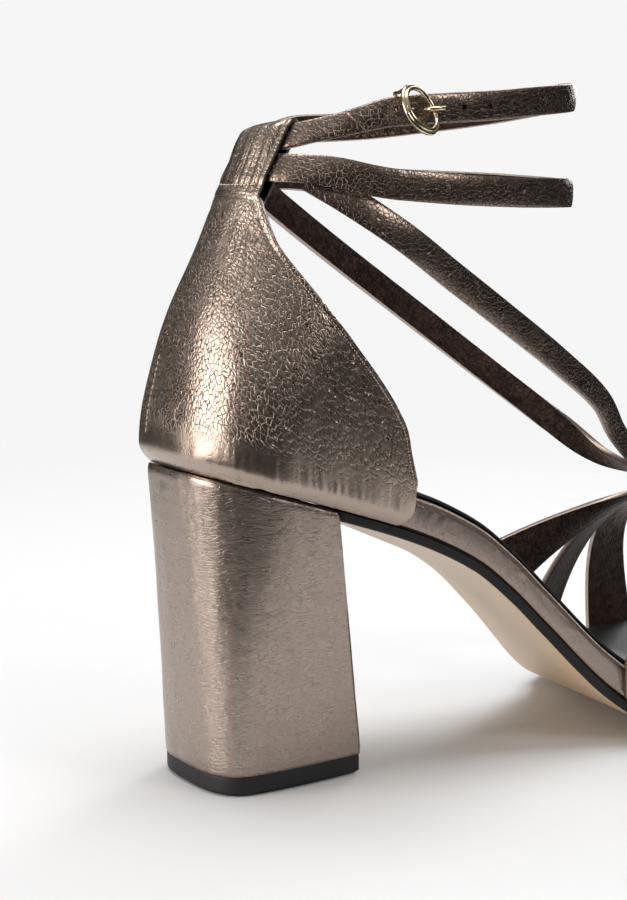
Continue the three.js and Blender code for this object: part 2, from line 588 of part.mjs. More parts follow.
// Throat strap: from behind the lower ankle strap down to the keeper, through it and up the other side
function throatStrap() {
  const topX = backX(LOWER.backZ) + THROAT_STRAP_START;
  const point = (way, side) => {
    const half = side < 0 ? 'outer' : 'inner';
    const x = lerp(topX, KEEPER_STATION, way);
    const z = lerp(LOWER.backZ - 3, throatStrapZ, read(THROAT_PATH, 'way', `${half}Fall`, way));
    return new THREE.Vector3(x, side * ANKLE_WIDTH * read(THROAT_PATH, 'way', `${half}Off`, way), z);
  };
  const ways = THROAT_PATH.map((row) => row.way);
  const inKeeper = (across) => new THREE.Vector3(KEEPER_STATION, across * KEEPER_WIDTH, throatStrapZ);
  const curve = new THREE.CatmullRomCurve3([
    ...ways.map((way) => point(way, -1)),
    inKeeper(-0.35), inKeeper(0), inKeeper(0.35),
    ...ways.reverse().map((way) => point(way, 1)),
  ], false, 'centripetal');
  const surface = (u, across) => {
    const t = clamp01(u);
    const at = curve.getPointAt(t);
    const along = curve.getTangentAt(t);
    const way = (at.x - topX) / (KEEPER_STATION - topX);
    const roll = read(THROAT_PATH, 'way', 'roll', way) * Math.PI / 2;
    const side = Math.sign(at.y) || 1;
    const face = new THREE.Vector3(0, side * Math.cos(roll), Math.sin(roll));
    return at.addScaledVector(face.cross(along).normalize(), across * STRAP_WIDTH);
  };
  const places = steps(56, (t) => lerp(0.001, 0.999, t));
  return sheet(surface, places, [-0.5, 0.5], STRAP_THICKNESS / 2, STRAP_THICKNESS / 2);
}

// Buckle: its own directions are along the strap, out from it and up across it
const buckleSeat = ringPoint(UPPER, buckleTurn, 0, lapLayer);
const buckleAhead = ringPoint(UPPER, buckleTurn + 0.01, 0, lapLayer).sub(buckleSeat).normalize();
const buckleUp = new THREE.Vector3(0, 0, 1).projectOnPlane(buckleAhead).normalize();
const buckleOut = buckleAhead.clone().cross(buckleUp).normalize();
buckleSeat.addScaledVector(buckleOut, -strapDepth + STRAP_THICKNESS / 2);
const atBuckle = (ahead, out, up) => buckleSeat.clone()
  .addScaledVector(buckleAhead, ahead).addScaledVector(buckleOut, out).addScaledVector(buckleUp, up);

const ringRadius = RING_DIAMETER / 2;
const ringStand = ringRadius * Math.sin(RING_TILT) + RING_WIRE / 2 + SEAM + 0.2;
// A point of the tilted ring: angle 0 is its low side, next to the strap
function onRing(angle, radius, shift = 0) {
  const low = radius * Math.cos(angle);
  const level = radius * Math.sin(angle);
  const near = low * Math.cos(RING_TILT) + shift * Math.sin(RING_TILT);
  return atBuckle(
    near * Math.cos(RING_TWIST) - level * Math.sin(RING_TWIST),
    ringStand - low * Math.sin(RING_TILT) + shift * Math.cos(RING_TILT),
    near * Math.sin(RING_TWIST) + level * Math.cos(RING_TWIST));
}

// A round wire along points, with flat ends unless it is endless
function wire(points, diameter, segments, endless = false) {
  const curve = new THREE.CatmullRomCurve3(points, endless, 'centripetal');
  const frames = curve.computeFrenetFrames(segments, endless);
  const count = endless ? segments : segments + 1;
  const rings = Array.from({ length: count }, (_, i) => {
    const at = curve.getPointAt(i / segments);
    return steps(8, (t) => t * 2 * Math.PI).slice(0, -1).map((angle) => at.clone()
      .addScaledVector(frames.normals[i], Math.cos(angle) * diameter / 2)
      .addScaledVector(frames.binormals[i], Math.sin(angle) * diameter / 2));
  });
  return loft(rings, endless);
}

function buckleFrame() {
  const circle = (radius, shift) =>
    wire(steps(24, (t) => onRing(t * 2 * Math.PI, radius, shift)).slice(0, -1), RING_WIRE, 32, true);
  const behind = -(STRAP_THICKNESS + SEAM + 0.25 + RING_WIRE / 2);
  const foot = (angle) => onRing(angle, ringRadius);
  const sunk = (from, level) =>
    from.clone().addScaledVector(buckleOut, level - from.clone().sub(buckleSeat).dot(buckleOut));
  const [first, last] = [foot(Math.PI / 2), foot(-Math.PI / 2)];
  const bar = (t) => sunk(first, behind).lerp(sunk(last, behind), t);
  const stirrupPath = [first, sunk(first, 0), bar(0.04), bar(0.5), bar(0.96), sunk(last, 0), last];
  const stirrup = wire(stirrupPath, RING_WIRE, 28);
  return circle(ringRadius, 0).add(circle(ringRadius - RING_PAIR_STEP, RING_WIRE * 0.4)).add(stirrup);
}

function buckleProng() {
  const rim = onRing(-RING_TWIST, ringRadius);
  const local = rim.sub(buckleSeat);
  const [ahead, out] = [local.dot(buckleAhead), local.dot(buckleOut)];
  const round = RING_WIRE / 2 + RING_PAIR_STEP / 2 + SEAM + PRONG_WIRE / 2 + 0.25;
  return wire([
    atBuckle(ahead - 0.4 - round, out + 0.2, 0),
    atBuckle(ahead - 0.4 - round * 0.6, out + round * 0.85, 0),
    atBuckle(ahead + 0.3, out + round + 0.1, 0),
    atBuckle(ahead + round, out + round * 0.6, 0),
    atBuckle(ahead + PRONG_REACH - 0.4, PRONG_WIRE * 0.9, 0),
    atBuckle(ahead + PRONG_REACH, -STRAP_THICKNESS * 0.5, 0),
  ], PRONG_WIRE, 18);
}

const shoe = new THREE.Group();
shoe.position.x = -(HEEL_TREAD_BACK + HEEL_TREAD_LENGTH / 2);

const LEATHER = { color: 0x8c7d72, roughness: 0.35, metalness: 0.85 };
const PALE_BRASS = { color: 0xd8c9a0, roughness: 0.22, metalness: 1 };
const PARTS = {
  top_lift: [topLift, { color: 0x17161b, roughness: 0.6, metalness: 0 }],
  heel_block: [heelBlock, LEATHER],
  outsole: [outsole, { color: 0xc9ab8e, roughness: 0.55, metalness: 0 }],
  footbed: [footbed, LEATHER],
  sock: [sock, { color: 0x16151a, roughness: 0.5, metalness: 0 }],
  counter: [counter, LEATHER],
  ankle_strap_lower: [ankleStrapLower, LEATHER],
  ankle_strap_upper: [ankleStrapUpper, LEATHER],
  throat_strap: [throatStrap, LEATHER],
  vamp_straps: [vampStraps, LEATHER],
  vamp_keeper: [vampKeeper, LEATHER],
  buckle_frame: [buckleFrame, PALE_BRASS],
  buckle_prong: [buckleProng, PALE_BRASS],
};
for (const [name, [make, finish]] of Object.entries(PARTS)) {
  const mesh = new THREE.Mesh(geometryOf(make()), new THREE.MeshStandardMaterial(finish));
  mesh.name = name;
  shoe.add(mesh);
}

const root = new THREE.Group();
root.add(shoe);
export default root;
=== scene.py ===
import math

import bpy
from mathutils import Matrix, Vector, noise


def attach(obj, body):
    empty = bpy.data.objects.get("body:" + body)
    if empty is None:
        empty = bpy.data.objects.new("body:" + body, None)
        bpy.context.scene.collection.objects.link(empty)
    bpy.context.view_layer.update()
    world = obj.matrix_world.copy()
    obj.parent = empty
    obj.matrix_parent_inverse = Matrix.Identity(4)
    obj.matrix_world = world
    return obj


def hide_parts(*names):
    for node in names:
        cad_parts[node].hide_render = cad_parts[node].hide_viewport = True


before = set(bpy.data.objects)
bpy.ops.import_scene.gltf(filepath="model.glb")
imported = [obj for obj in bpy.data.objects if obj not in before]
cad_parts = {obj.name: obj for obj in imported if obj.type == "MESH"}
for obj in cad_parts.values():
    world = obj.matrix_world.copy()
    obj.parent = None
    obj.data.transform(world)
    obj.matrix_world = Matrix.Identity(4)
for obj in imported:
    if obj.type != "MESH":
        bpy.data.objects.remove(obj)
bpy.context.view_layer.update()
MM = 0.001

# Sizes of the shoe in millimetres. x is the station from just behind the seat, and the row's x is
# x - TREAD_MIDDLE.
TREAD_MIDDLE = 29.5
LENGTH, BALL, RISE, SPRING, SKEW, SEAM = 221.0, 76.0, 77.9, 6.2, 0.115, 0.3
OUTSOLE, FOOTBED, SHANK_GAIN, SOCK, CROWN, SOCK_MARGIN = 2.3, 7.4, 1.9, 1.2, 2.0, 1.3
SEAT_BACK, REACH, HEIGHT, WALL, CORNER = 5.0, 54.7, 65.6, 1.8, 5.0
LOOP_HEIGHT, LOOP_WIDTH, LOOP_TOP, LOOP_WALL, LOOP_GAP = 16.3, 20.0, 18.4, 0.9, 3.0
LEAN, LOOP_TILT = math.radians(30), 0.13
TIGHT = 0.93  # how far stations crowd towards a round end, 1 at most
ANKLE_FRONT, ANKLE_WIDTH, ANKLE_BACK, STRAP, STRAP_T = 124.8, 57.0, 47.0, 7.0, 1.6
TREAD_LENGTH, TREAD_WIDTH, TREAD_BACK, SEAT_BREAST, LIFT = 41.0, 37.0, 9.0, 38.4, 4.9
RING, WIRE, PAIR_STEP, BUCKLE_AT = 12.2, 1.05, 0.75, 57.4
RING_TILT, RING_TWIST = math.radians(44), math.radians(35)
TIP_OVERLAP, TIP_SLANT, HOLE = 12.4, 8.9, 1.3
HOLES = [-7.1, 0.4, 7.9, 13.9, 21.4, 29.0]
KEEPER_AT, KEEPER_LENGTH, KEEPER_WIDTH, KEEPER_WALL = 0.751 * LENGTH, 16.2, 7.0, 1.4
VAMP_T, VAMP_RISE, FULLNESS, FOOT_WIDTH, TOP_WIDTH, THROAT_START = 1.8, 46.0, 0.76, 16.5, 8.4, 12.0

# Share of LENGTH, share of RISE: underside of the footbed
SEAT_PROFILE = [(-.03, 1.026), (0, 1), (.1, .917), (.19, .837), (.25, .779), (.308, .712), (.362, .629),
                (.407, .524), (.452, .396), (.498, .259), (.534, .164), (.57, .09), (.606, .04),
                (.643, .011), (.679, 0), (1.02, 0)]
# Share of LENGTH, share of SPRING: lift of the toe
TOE_PROFILE = [(0, 0), (.76, 0), (.82, .09), (.88, .3), (.94, .62), (1.02, 1.1)]
# Share of LENGTH, then shares of BALL: middle line and half width
OUTLINE = [(0, 0, .324), (.127, 0, .324), (.204, -.013, .317), (.29, -.038, .293), (.362, -.06, .274),
           (.43, -.094, .262), (.498, -.12, .285), (.566, -.108, .352), (.633, -.062, .435),
           (.701, -.02, .488),
           (.76, .004, .5), (.824, .026, .482), (.887, .048, .452), (.95, .066, .418), (1.02, .082, .38)]
# Share of HEIGHT, share of 30 mm: the counter's back line
BACK_LINE = [(-.05, .02), (.05, -.005), (.154, .01), (.26, .045), (.369, .1), (.546, .213),
             (.76, .417), (1, .645)]
# Share of REACH, share of HEIGHT: the counter's top edge
TOP_EDGE = [(0, 1), (.05, .985), (.085, .93), (.12, .872), (.17, .805), (.22, .755), (.4, .611), (.61, .45),
            (.82, .279), (.9, .197), (.96, .111), (1, -.06)]
# Way to the keeper, then outer fall, outer offset, inner fall, inner offset, roll
THROAT = [(0, -.012, .235, .005, .24, 0), (.06, .055, .34, .058, .3, 0), (.16, .156, .405, .151, .359, 0),
          (.275, .267, .383, .26, .404, .02), (.41, .389, .333, .394, .42, .06),
          (.595, .555, .245, .588, .4, .15), (.72, .687, .194, .724, .363, .25),
          (.78, .803, .168, .795, .328, .35), (.88, .936, .16, .915, .235, .7),
          (1, .99, .16, .99, .17, 1)]
# Share of the half turn, then share of the upper and of the lower strap's rise
RING_RISE = [(0, 0, 0), (.104, .05, .02), (.213, .24, .136), (.344, .44, .37), (.519, .55, .65),
             (.645, .69, .79), (.8, .85, .89), (.904, .945, .96), (1, 1, 1)]
TREAD_OUTLINE = [(0, 1), (.32, 1), (.55, .99), (.8, .945), (1, .89)]
# Outer foot, inner foot and keeper as shares of LENGTH, and the layer at the keeper
BANDS = [(.8, .805, .761, 0), (.69, .655, .752, 1), (.58, .51, .743, 2)]
HEEL_ROUND, TOE_ROUND, TREAD_ROUND = (22.0, 2.5), (42.0, 2.25), (12.0, 2.9)


def lerp(a, b, t):
    return a + (b - a) * t


def clamp(t):
    return min(1.0, max(0.0, t))


def ease(t):
    return clamp(t) ** 2 * (3 - 2 * clamp(t))


def bump(x, width):
    """A soft ridge: 1 at 0, falling to 0 at width."""
    return math.exp(-(x / width) ** 2)


def read(table, at, col=1):
    """The table's value at a place, by a cubic through its rows that never overshoots them."""
    if at <= table[0][0]:
        return table[0][col]
    if at >= table[-1][0]:
        return table[-1][col]
    i = next(k for k, row in enumerate(table) if row[0] > at) - 1
    last = len(table) - 1

    def slope(k):
        return (table[k + 1][col] - table[k][col]) / (table[k + 1][0] - table[k][0])

    def tangent(k):
        if k == 0 or k == last:
            return slope(min(k, last - 1))
        a, b = slope(k - 1), slope(k)
        return 0.0 if a * b <= 0 else 2 * a * b / (a + b)

    span = table[i + 1][0] - table[i][0]
    t = (at - table[i][0]) / span
    return ((2 * t ** 3 - 3 * t * t + 1) * table[i][col] + (t ** 3 - 2 * t * t + t) * span * tangent(i)
            + (3 * t * t - 2 * t ** 3) * table[i + 1][col] + (t ** 3 - t * t) * span * tangent(i + 1))


def seat_z(x):
    """Height of the footbed's underside at the waist side, with the toe spring."""
    return OUTSOLE + SEAM + RISE * read(SEAT_PROFILE, x / LENGTH) + SPRING * read(TOE_PROFILE, x / LENGTH)


def slope_at(x):
    return seat_z(x + 0.5) - seat_z(x - 0.5)


def upright(x):
    return math.hypot(1, slope_at(x))


def depth(x):
    return FOOTBED + SHANK_GAIN * clamp(-slope_at(x) / 0.45)


def bend(x, y):
    """The station that counts at (x, y): the ball line runs askew across the foot."""
    return x - SKEW * ease((x - 68) / 27) * (y + 0.37 * BALL)


def base_at(x, y):
    return seat_z(x) + seat_z(bend(x, y)) - seat_z(bend(x, -0.37 * BALL))


def top_at(x, y):
    return base_at(x, y) + depth(bend(x, y))


def round_end(distance, shape):
    """A share of the full width near a round end. shape is its length in mm and its roundness."""
    length, power = shape
    if distance >= length:
        return 1.0
    return (1 - (1 - clamp(distance / length)) ** power) ** (1 / power)


def middle_y(x):
    return BALL * read(OUTLINE, x / LENGTH)


def half_width(x):
    return BALL * read(OUTLINE, x / LENGTH, 2)


def edge_y(x, side, grown=0.0):
    """Edge of the footbed on a side, -1 outer and 1 inner, moved out by grown mm."""
    return middle_y(x) + side * (half_width(x) + grown) \
        * round_end(x - SEAT_BACK + grown, HEEL_ROUND) * round_end(LENGTH - x + grown, TOE_ROUND)


def roundness(x):
    return round_end(x - SEAT_BACK, HEEL_ROUND) * round_end(LENGTH - x, TOE_ROUND)


SEAT_Z = seat_z(SEAT_BACK)
LOOP_SEAM_Z = SEAT_Z + HEIGHT
LOOP_TOP_Z = LOOP_SEAM_Z + LOOP_HEIGHT
OFFSET = WALL + SEAM


def back_x(z):
    up = (z - SEAT_Z) / HEIGHT
    return SEAT_BACK - OFFSET + 30 * read(BACK_LINE, min(up, 1)) + max(0, z - LOOP_SEAM_Z) * math.tan(LEAN)


def counter_point(along, z, side):
    """The counter's outer face, along mm ahead of its back line."""
    x = back_x(z) + along
    rise = ease((z - SEAT_Z) / HEIGHT)
    shape = (lerp(HEEL_ROUND[0], ANKLE_BACK, rise), lerp(HEEL_ROUND[1], 2, rise))
    tucked = 1.2 * (1 - clamp((z - seat_z(x)) / 4)) ** 2 * clamp(along / HEEL_ROUND[0])
    swell = 1.6 * math.sin(math.pi * clamp((z - seat_z(x)) / 50))
    seat_half = half_width(x) + side * middle_y(x) + OFFSET + swell - tucked
    return Vector((x, side * lerp(seat_half, ANKLE_WIDTH / 2, rise) * round_end(along, shape), z))


def outward(along, z, side):
    """The direction out of the counter's face."""
    step = 0.05
    up = counter_point(along, z + step, side) - counter_point(along, z - step, side)
    if along < step:
        return Vector((-up.z, 0, up.x)).normalized()
    forward = counter_point(along + step, z, side) - counter_point(along - step, z, side)
    return (forward.cross(up) * -side).normalized()


def row(p):
    """A point in millimetres and stations as a point of the row, in metres."""
    return ((p[0] - TREAD_MIDDLE) * MM, p[1] * MM, p[2] * MM)


# Building by operators

SHARP = math.radians(50)  # edges sharper than this are rounded and shaded apart


def alone(obj):
    bpy.ops.object.select_all(action="DESELECT")
    obj.select_set(True)
    bpy.context.view_layer.objects.active = obj


def apply(obj, kind, **settings):
    alone(obj)
    modifier = obj.modifiers.new(kind.lower(), kind)
    for key, value in settings.items():
        setattr(modifier, key, value)
    bpy.ops.object.modifier_apply(modifier=modifier.name)


def skin(name, point, nu, nv, size, closed=False, capped=False):
    """A grid primitive laid over point(u, v), u and v from 0 to 1. size is in mm, for the UV map."""
    bpy.ops.mesh.primitive_grid_add(x_subdivisions=nu, y_subdivisions=nv, size=1, location=(0, 0, 0))
    obj = bpy.context.object
    obj.name = obj.data.name = name
    mesh = obj.data
    flat = [(v.co.x + 0.5, v.co.y + 0.5) for v in mesh.vertices]
    for v, (a, b) in zip(mesh.vertices, flat):
        v.co = row(point(a, b))
    uv = mesh.uv_layers.active.data
    for loop in mesh.loops:
        a, b = flat[loop.vertex_index]
        uv[loop.index].uv = (a * size[0], b * size[1])
    alone(obj)
    bpy.ops.object.mode_set(mode="EDIT")
    bpy.ops.mesh.select_all(action="SELECT")
    if closed:
        bpy.ops.mesh.remove_doubles(threshold=1e-6)
    if capped:
        bpy.ops.mesh.select_all(action="DESELECT")
        bpy.ops.mesh.select_mode(type="EDGE")
        bpy.ops.mesh.select_non_manifold()
        bpy.ops.mesh.edge_face_add()
        bpy.ops.mesh.select_all(action="SELECT")
    if closed:
        bpy.ops.mesh.normals_make_consistent(inside=False)
    bpy.ops.object.mode_set(mode="OBJECT")
    bpy.ops.object.shade_smooth()
    return obj


def facing(obj, face, outside):
    """Turns a sheet over if this face of it doesn't look towards the direction outside."""
    if face.normal.dot(outside) < 0:
        alone(obj)
        bpy.ops.object.mode_set(mode="EDIT")
        bpy.ops.mesh.select_all(action="SELECT")
        bpy.ops.mesh.flip_normals()
        bpy.ops.object.mode_set(mode="OBJECT")


def face_near(obj, p):
    """The face nearest to a point given in millimetres and stations."""
    return min(obj.data.polygons, key=lambda f: (f.center - Vector(row(p))).length)


def top_face(obj):
    return max(obj.data.polygons, key=lambda f: f.center.z)


def wall(obj, thickness, offset, edge, *materials):
    """Gives a sheet its wall, with edges rounded off by edge mm. Materials: outside, inside, edge."""
    for m in materials:
        obj.data.materials.append(m)
    apply(obj, "SOLIDIFY", thickness=thickness * MM, offset=offset, use_even_offset=False,
          material_offset=1, material_offset_rim=2)
    apply(obj, "BEVEL", width=edge * MM, segments=2, limit_method="ANGLE", angle_limit=SHARP)
    alone(obj)
    bpy.ops.object.shade_smooth_by_angle(angle=SHARP)


def dress(obj, slot, *materials, nodes=()):
    for m in materials:
        obj.data.materials.append(m)
    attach(obj, "root")
    if nodes:
        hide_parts(*nodes)
    return obj


# Materials


def srgb(code):
    def linear(c):
        return c / 12.92 if c <= 0.04045 else ((c + 0.055) / 1.055) ** 2.4
    return tuple(linear(int(code[i:i + 2], 16) / 255) for i in (1, 3, 5)) + (1.0,)


def new_material(name):
    m = bpy.data.materials.new(name)
    m.use_nodes = True
    tree = m.node_tree
    return m, tree, tree.nodes["Principled BSDF"]


def node(tree, kind, links=(), **settings):
    """Adds a node. links are (input, socket) pairs. Settings are properties, or inputs if named in_..."""
    n = tree.nodes.new(kind)
    for key, value in settings.items():
        if key.startswith("in_"):
            n.inputs[key[3:].replace("_", " ")].default_value = value
        else:
            setattr(n, key, value)
    for where, socket in links:
        tree.links.new(socket, n.inputs[where])
    return n


def ramp(tree, socket, stops):
    r = node(tree, "ShaderNodeValToRGB", [("Fac", socket)])
    while len(r.color_ramp.elements) < len(stops):
        r.color_ramp.elements.new(0.5)
    for element, (at, colour) in zip(r.color_ramp.elements, stops):
        element.position = at
        element.color = colour
    return r.outputs["Color"]


def grey(v):
    return (v, v, v, 1)


def foil_leather(name, tone, crack_shade_tone, cell, relief, roughness=0.27, metallic=0.95, turn=(0, 0, 0),
                 stretch=(1, 1, 1), calm=False, crack=0.09, patches=0.0):
    """Metallic foil on leather: low pebbles, thin cracks between them, fine pores, and painted shade in the
    cracks. cell is in mm.
    """
    m, tree, shader = new_material(name)
    place = node(tree, "ShaderNodeTexCoord").outputs["Object"]
    wave = node(tree, "ShaderNodeTexNoise", [("Vector", place)], in_Scale=300.0, in_Detail=2.0)
    bent = node(tree, "ShaderNodeVectorMath", [(0, wave.outputs["Color"]), (2, place)],
                operation="MULTIPLY_ADD")
    bent.inputs[1].default_value = [cell * 1.1 * MM] * 3
    grid = node(tree, "ShaderNodeMapping", [("Vector", bent.outputs["Vector"])], vector_type="TEXTURE")
    grid.inputs["Rotation"].default_value = turn
    grid.inputs["Scale"].default_value = [cell * MM * k for k in stretch]
    pebble = node(tree, "ShaderNodeTexVoronoi", [("Vector", grid.outputs["Vector"])],
                  feature="DISTANCE_TO_EDGE", in_Scale=1.0, in_Randomness=1.0)
    cut = node(tree, "ShaderNodeMapRange", [("Value", pebble.outputs["Distance"])],
               interpolation_type="SMOOTHSTEP")
    cut.inputs["From Max"].default_value = crack
    dome = node(tree, "ShaderNodeMapRange", [("Value", pebble.outputs["Distance"])],
                interpolation_type="SMOOTHERSTEP")
    dome.inputs["From Max"].default_value = 0.5
    swell = node(tree, "ShaderNodeTexNoise", [("Vector", grid.outputs["Vector"])],
                 in_Scale=0.45, in_Detail=3.0)
    pores = node(tree, "ShaderNodeTexNoise", [("Vector", place)], in_Scale=1700.0, in_Detail=2.0)
    ridged = node(tree, "ShaderNodeMath", [(0, dome.outputs["Result"]), (2, cut.outputs["Result"])],
                   operation="MULTIPLY_ADD")
    ridged.inputs[1].default_value = 0.35
    swollen = node(tree, "ShaderNodeMath", [(0, swell.outputs["Fac"]), (2, ridged.outputs["Value"])],
                   operation="MULTIPLY_ADD")
    swollen.inputs[1].default_value = 0.6
    height = node(tree, "ShaderNodeMath", [(0, pores.outputs["Fac"]), (2, swollen.outputs["Value"])],
                  operation="MULTIPLY_ADD")
    height.inputs[1].default_value = 0.07
    relieved = node(tree, "ShaderNodeBump", [("Height", height.outputs["Value"])], in_Strength=1.0)
    relieved.inputs["Distance"].default_value = relief * MM
    # Nearness to a crack, which drives the painted shade in the cracks
    crack_shade = cut.outputs["Result"]
    # calm lowers the relief and fades the painted crack shade towards the plain tone
    if calm:
        amount = node(tree, "ShaderNodeAttribute", attribute_name="calm", attribute_type="GEOMETRY")
        tree.links.new(amount.outputs["Fac"], relieved.inputs["Strength"])
        faded = node(tree, "ShaderNodeMix", [("Factor", amount.outputs["Fac"]), ("B", crack_shade)],
                     data_type="FLOAT")
        faded.inputs["A"].default_value = 1.0
        crack_shade = faded.outputs["Result"]
    # The cracks are painted in the darker tone: painted shade in the recesses of the grain
    shade = ramp(tree, crack_shade, [(0.0, srgb(crack_shade_tone)), (0.8, srgb(tone))])
    if patches:
        mottle = node(tree, "ShaderNodeTexNoise", [("Vector", place)], in_Scale=420.0, in_Detail=3.0)
        spread = ramp(tree, mottle.outputs["Fac"], [(0.38, grey(1 - patches)), (0.62, grey(1.0))])
        shade = node(tree, "ShaderNodeMix", [("A", shade), ("B", spread)], data_type="RGBA",
                     blend_type="MULTIPLY", in_Factor=1.0).outputs["Result"]
    tree.links.new(shade, shader.inputs["Base Color"])
    tree.links.new(relieved.outputs["Normal"], shader.inputs["Normal"])
    gloss = node(tree, "ShaderNodeMapRange", [("Value", wave.outputs["Fac"])])
    gloss.inputs["To Min"].default_value = roughness - 0.04
    gloss.inputs["To Max"].default_value = roughness + 0.07
    tree.links.new(gloss.outputs["Result"], shader.inputs["Roughness"])
    shader.inputs["Metallic"].default_value = metallic
    return m


def plain(name, colour, roughness, metallic=0.0, grain=0.0, scale=900.0, spread=0.15):
    """A plain finish with a little grain, in object coordinates. scale is cycles per metre."""
    m, tree, shader = new_material(name)
    shader.inputs["Roughness"].default_value = roughness
    shader.inputs["Metallic"].default_value = metallic
    where = node(tree, "ShaderNodeTexCoord").outputs["Object"]
    speck = node(tree, "ShaderNodeTexNoise", [("Vector", where)], in_Scale=scale, in_Detail=3.0)
    low_tone, high_tone = ([min(1, k * c) for c in srgb(colour)[:3]] + [1] for k in (1 - spread, 1 + spread))
    tone = ramp(tree, speck.outputs["Fac"], [(0.3, low_tone), (0.7, high_tone)])
    tree.links.new(tone, shader.inputs["Base Color"])
    if grain:
        b = node(tree, "ShaderNodeBump", [("Height", speck.outputs["Fac"])], in_Strength=0.6)
        b.inputs["Distance"].default_value = grain * MM
        tree.links.new(b.outputs["Normal"], shader.inputs["Normal"])
    return m


# In each foil below, the second colour is painted shade in the cracks of the grain
# Pewter foil leather of the counter: long cells that lean back over the heel
COUNTER_LEATHER = foil_leather("pewter_leather_counter", "#aa9b8f", "#6a5c53", 1.25, 0.085, roughness=0.25,
                               turn=(0, math.radians(-27), 0), stretch=(0.7, 0.8, 1.9), calm=True, crack=0.08)
# The same skin on the heel: flatter and drawn out round the block
HEEL_LEATHER = foil_leather("pewter_leather_heel", "#a6988e", "#95877e", 1.3, 0.02, stretch=(1.9, 1.9, 0.5),
                            roughness=0.27, crack=0.07)
# The same on straps and bands, finer and darker
STRAP_LEATHER = foil_leather("pewter_leather_straps", "#8a7b71", "#5a4d45", 1.1, 0.05,
                             roughness=0.25, crack=0.07)
# Wrapped edge of the footbed: drawn tight, small upright pleats
WRAP_LEATHER = foil_leather("pewter_leather_wrap", "#a0928a", "#8a7c73", 1.1, 0.035,
                            stretch=(0.45, 1, 2.2), roughness=0.3, crack=0.06)
# Inner faces of straps and bands: dark reddish foil, hardly shining
INNER_LEATHER = foil_leather("dark_inner_leather", "#5a443a", "#2f211b", 1.7, 0.13,
                             metallic=0.6, roughness=0.38, patches=0.5)
# Edges of the straps: the same foil, folded over
STRAP_EDGE = plain("folded_strap_edge", "#a3948a", 0.36, metallic=0.95, grain=0.04)
# Raw leather where the wrap is cut, its tone uneven
RAW_EDGE = plain("raw_leather_edge", "#bfae9c", 0.6, grain=0.05, scale=1500, spread=0.45)
# Folded edges of the counter, in the same foil
FOLDED_EDGE = plain("folded_foil_edge", "#8f8279", 0.33, metallic=0.9, grain=0.06)
# Dark lining of the counter, also laid on the footbed's tuck as painted shade in the gap over the sole
LINING_AND_GAP_SHADE = plain("dark_lining_and_gap_shade", "#15100e", 0.6, grain=0.05)
# Black sock leather
SOCK_LEATHER = plain("black_sock_leather", "#0f0e12", 0.5, grain=0.05, scale=700)
# Beige underside and black painted edge of the sole
SOLE_BASE = plain("beige_sole_leather", "#dcc3a4", 0.4, scale=40, spread=0.05)
SOLE_EDGE = plain("black_sole_edge", "#040405", 0.6, grain=0.02)
# Rubber of the top piece
LIFT_RUBBER = plain("black_lift_rubber", "#0b0a0e", 0.55, grain=0.03)
# Pale gold plate
GOLD = plain("pale_gold_plate", "#dccfae", 0.16, metallic=1.0, spread=0.03)
# Thread in the leather's colour, catching the light
THREAD = plain("pewter_thread", "#cfc2b6", 0.5, metallic=0.25, grain=0.03)


# Sole: footbed wrap, sock and outsole are closed tubes along the same stations


GIRTH = 2.2 * BALL  # way round a sole piece in its UV map, mm


def station(t, start, end):
    """Close together at both round ends."""
    return lerp(start, end, t - TIGHT * math.sin(2 * math.pi * t) / (2 * math.pi))


def rounded(ring, t):
    """A point of a closed ring at the share t of its rows, whose numbers are blended alike."""
    k = t * len(ring)
    i = int(k) % len(ring)
    a, b = ring[i], ring[(i + 1) % len(ring)]
    return [lerp(p, q, k - int(k)) for p, q in zip(a, b)]


def paint_rows(obj, count, spans, paint=1):
    """Gives the faces between the named rows of a ring another material. UV v runs round the ring."""
    uv = obj.data.uv_layers.active.data
    for f in obj.data.polygons:
        vs = [uv[i].uv[1] / GIRTH * count for i in f.loop_indices]
        middle = sum(vs) / len(vs)
        if any(a <= middle <= b for a, b in spans):
            f.material_index = paint


def sole_tube(name, ring, at, start, end, nu, nv):
    """A closed tube whose ring stands at each station, placed by at(x, *row of the ring)."""
    def point(u, v):
        x = station(u, start, end)
        return at(x, *rounded(ring, v % 1.0))
    return skin(name, point, nu, nv, (LENGTH, GIRTH), closed=True, capped=True)


def footbed_at(x, reach, inset, level):
    """The wrapped board: leather gathers in small pleats below the cut lip."""
    pleat = 0.0
    if abs(reach) > 0.97:
        under_lip = ease((level - 0.3) / 0.4) * ease((0.9 - level) / 0.03)
        pleat = 0.3 * noise.noise(Vector((x * 1.3 + 2 * level, reach, 0))) * under_lip
        pleat += 0.1 * noise.noise(Vector((x * 0.45, reach, 5)))
    inset = inset - pleat
    edge = edge_y(x, math.copysign(1, reach), -inset * roundness(x))
    y = lerp(middle_y(x), edge, abs(reach))
    end = (1 - roundness(x)) * (1.9 if x < LENGTH / 2 else -1)
    return Vector((x + inset * end, y, lerp(base_at(x, y), top_at(x, y), level)))


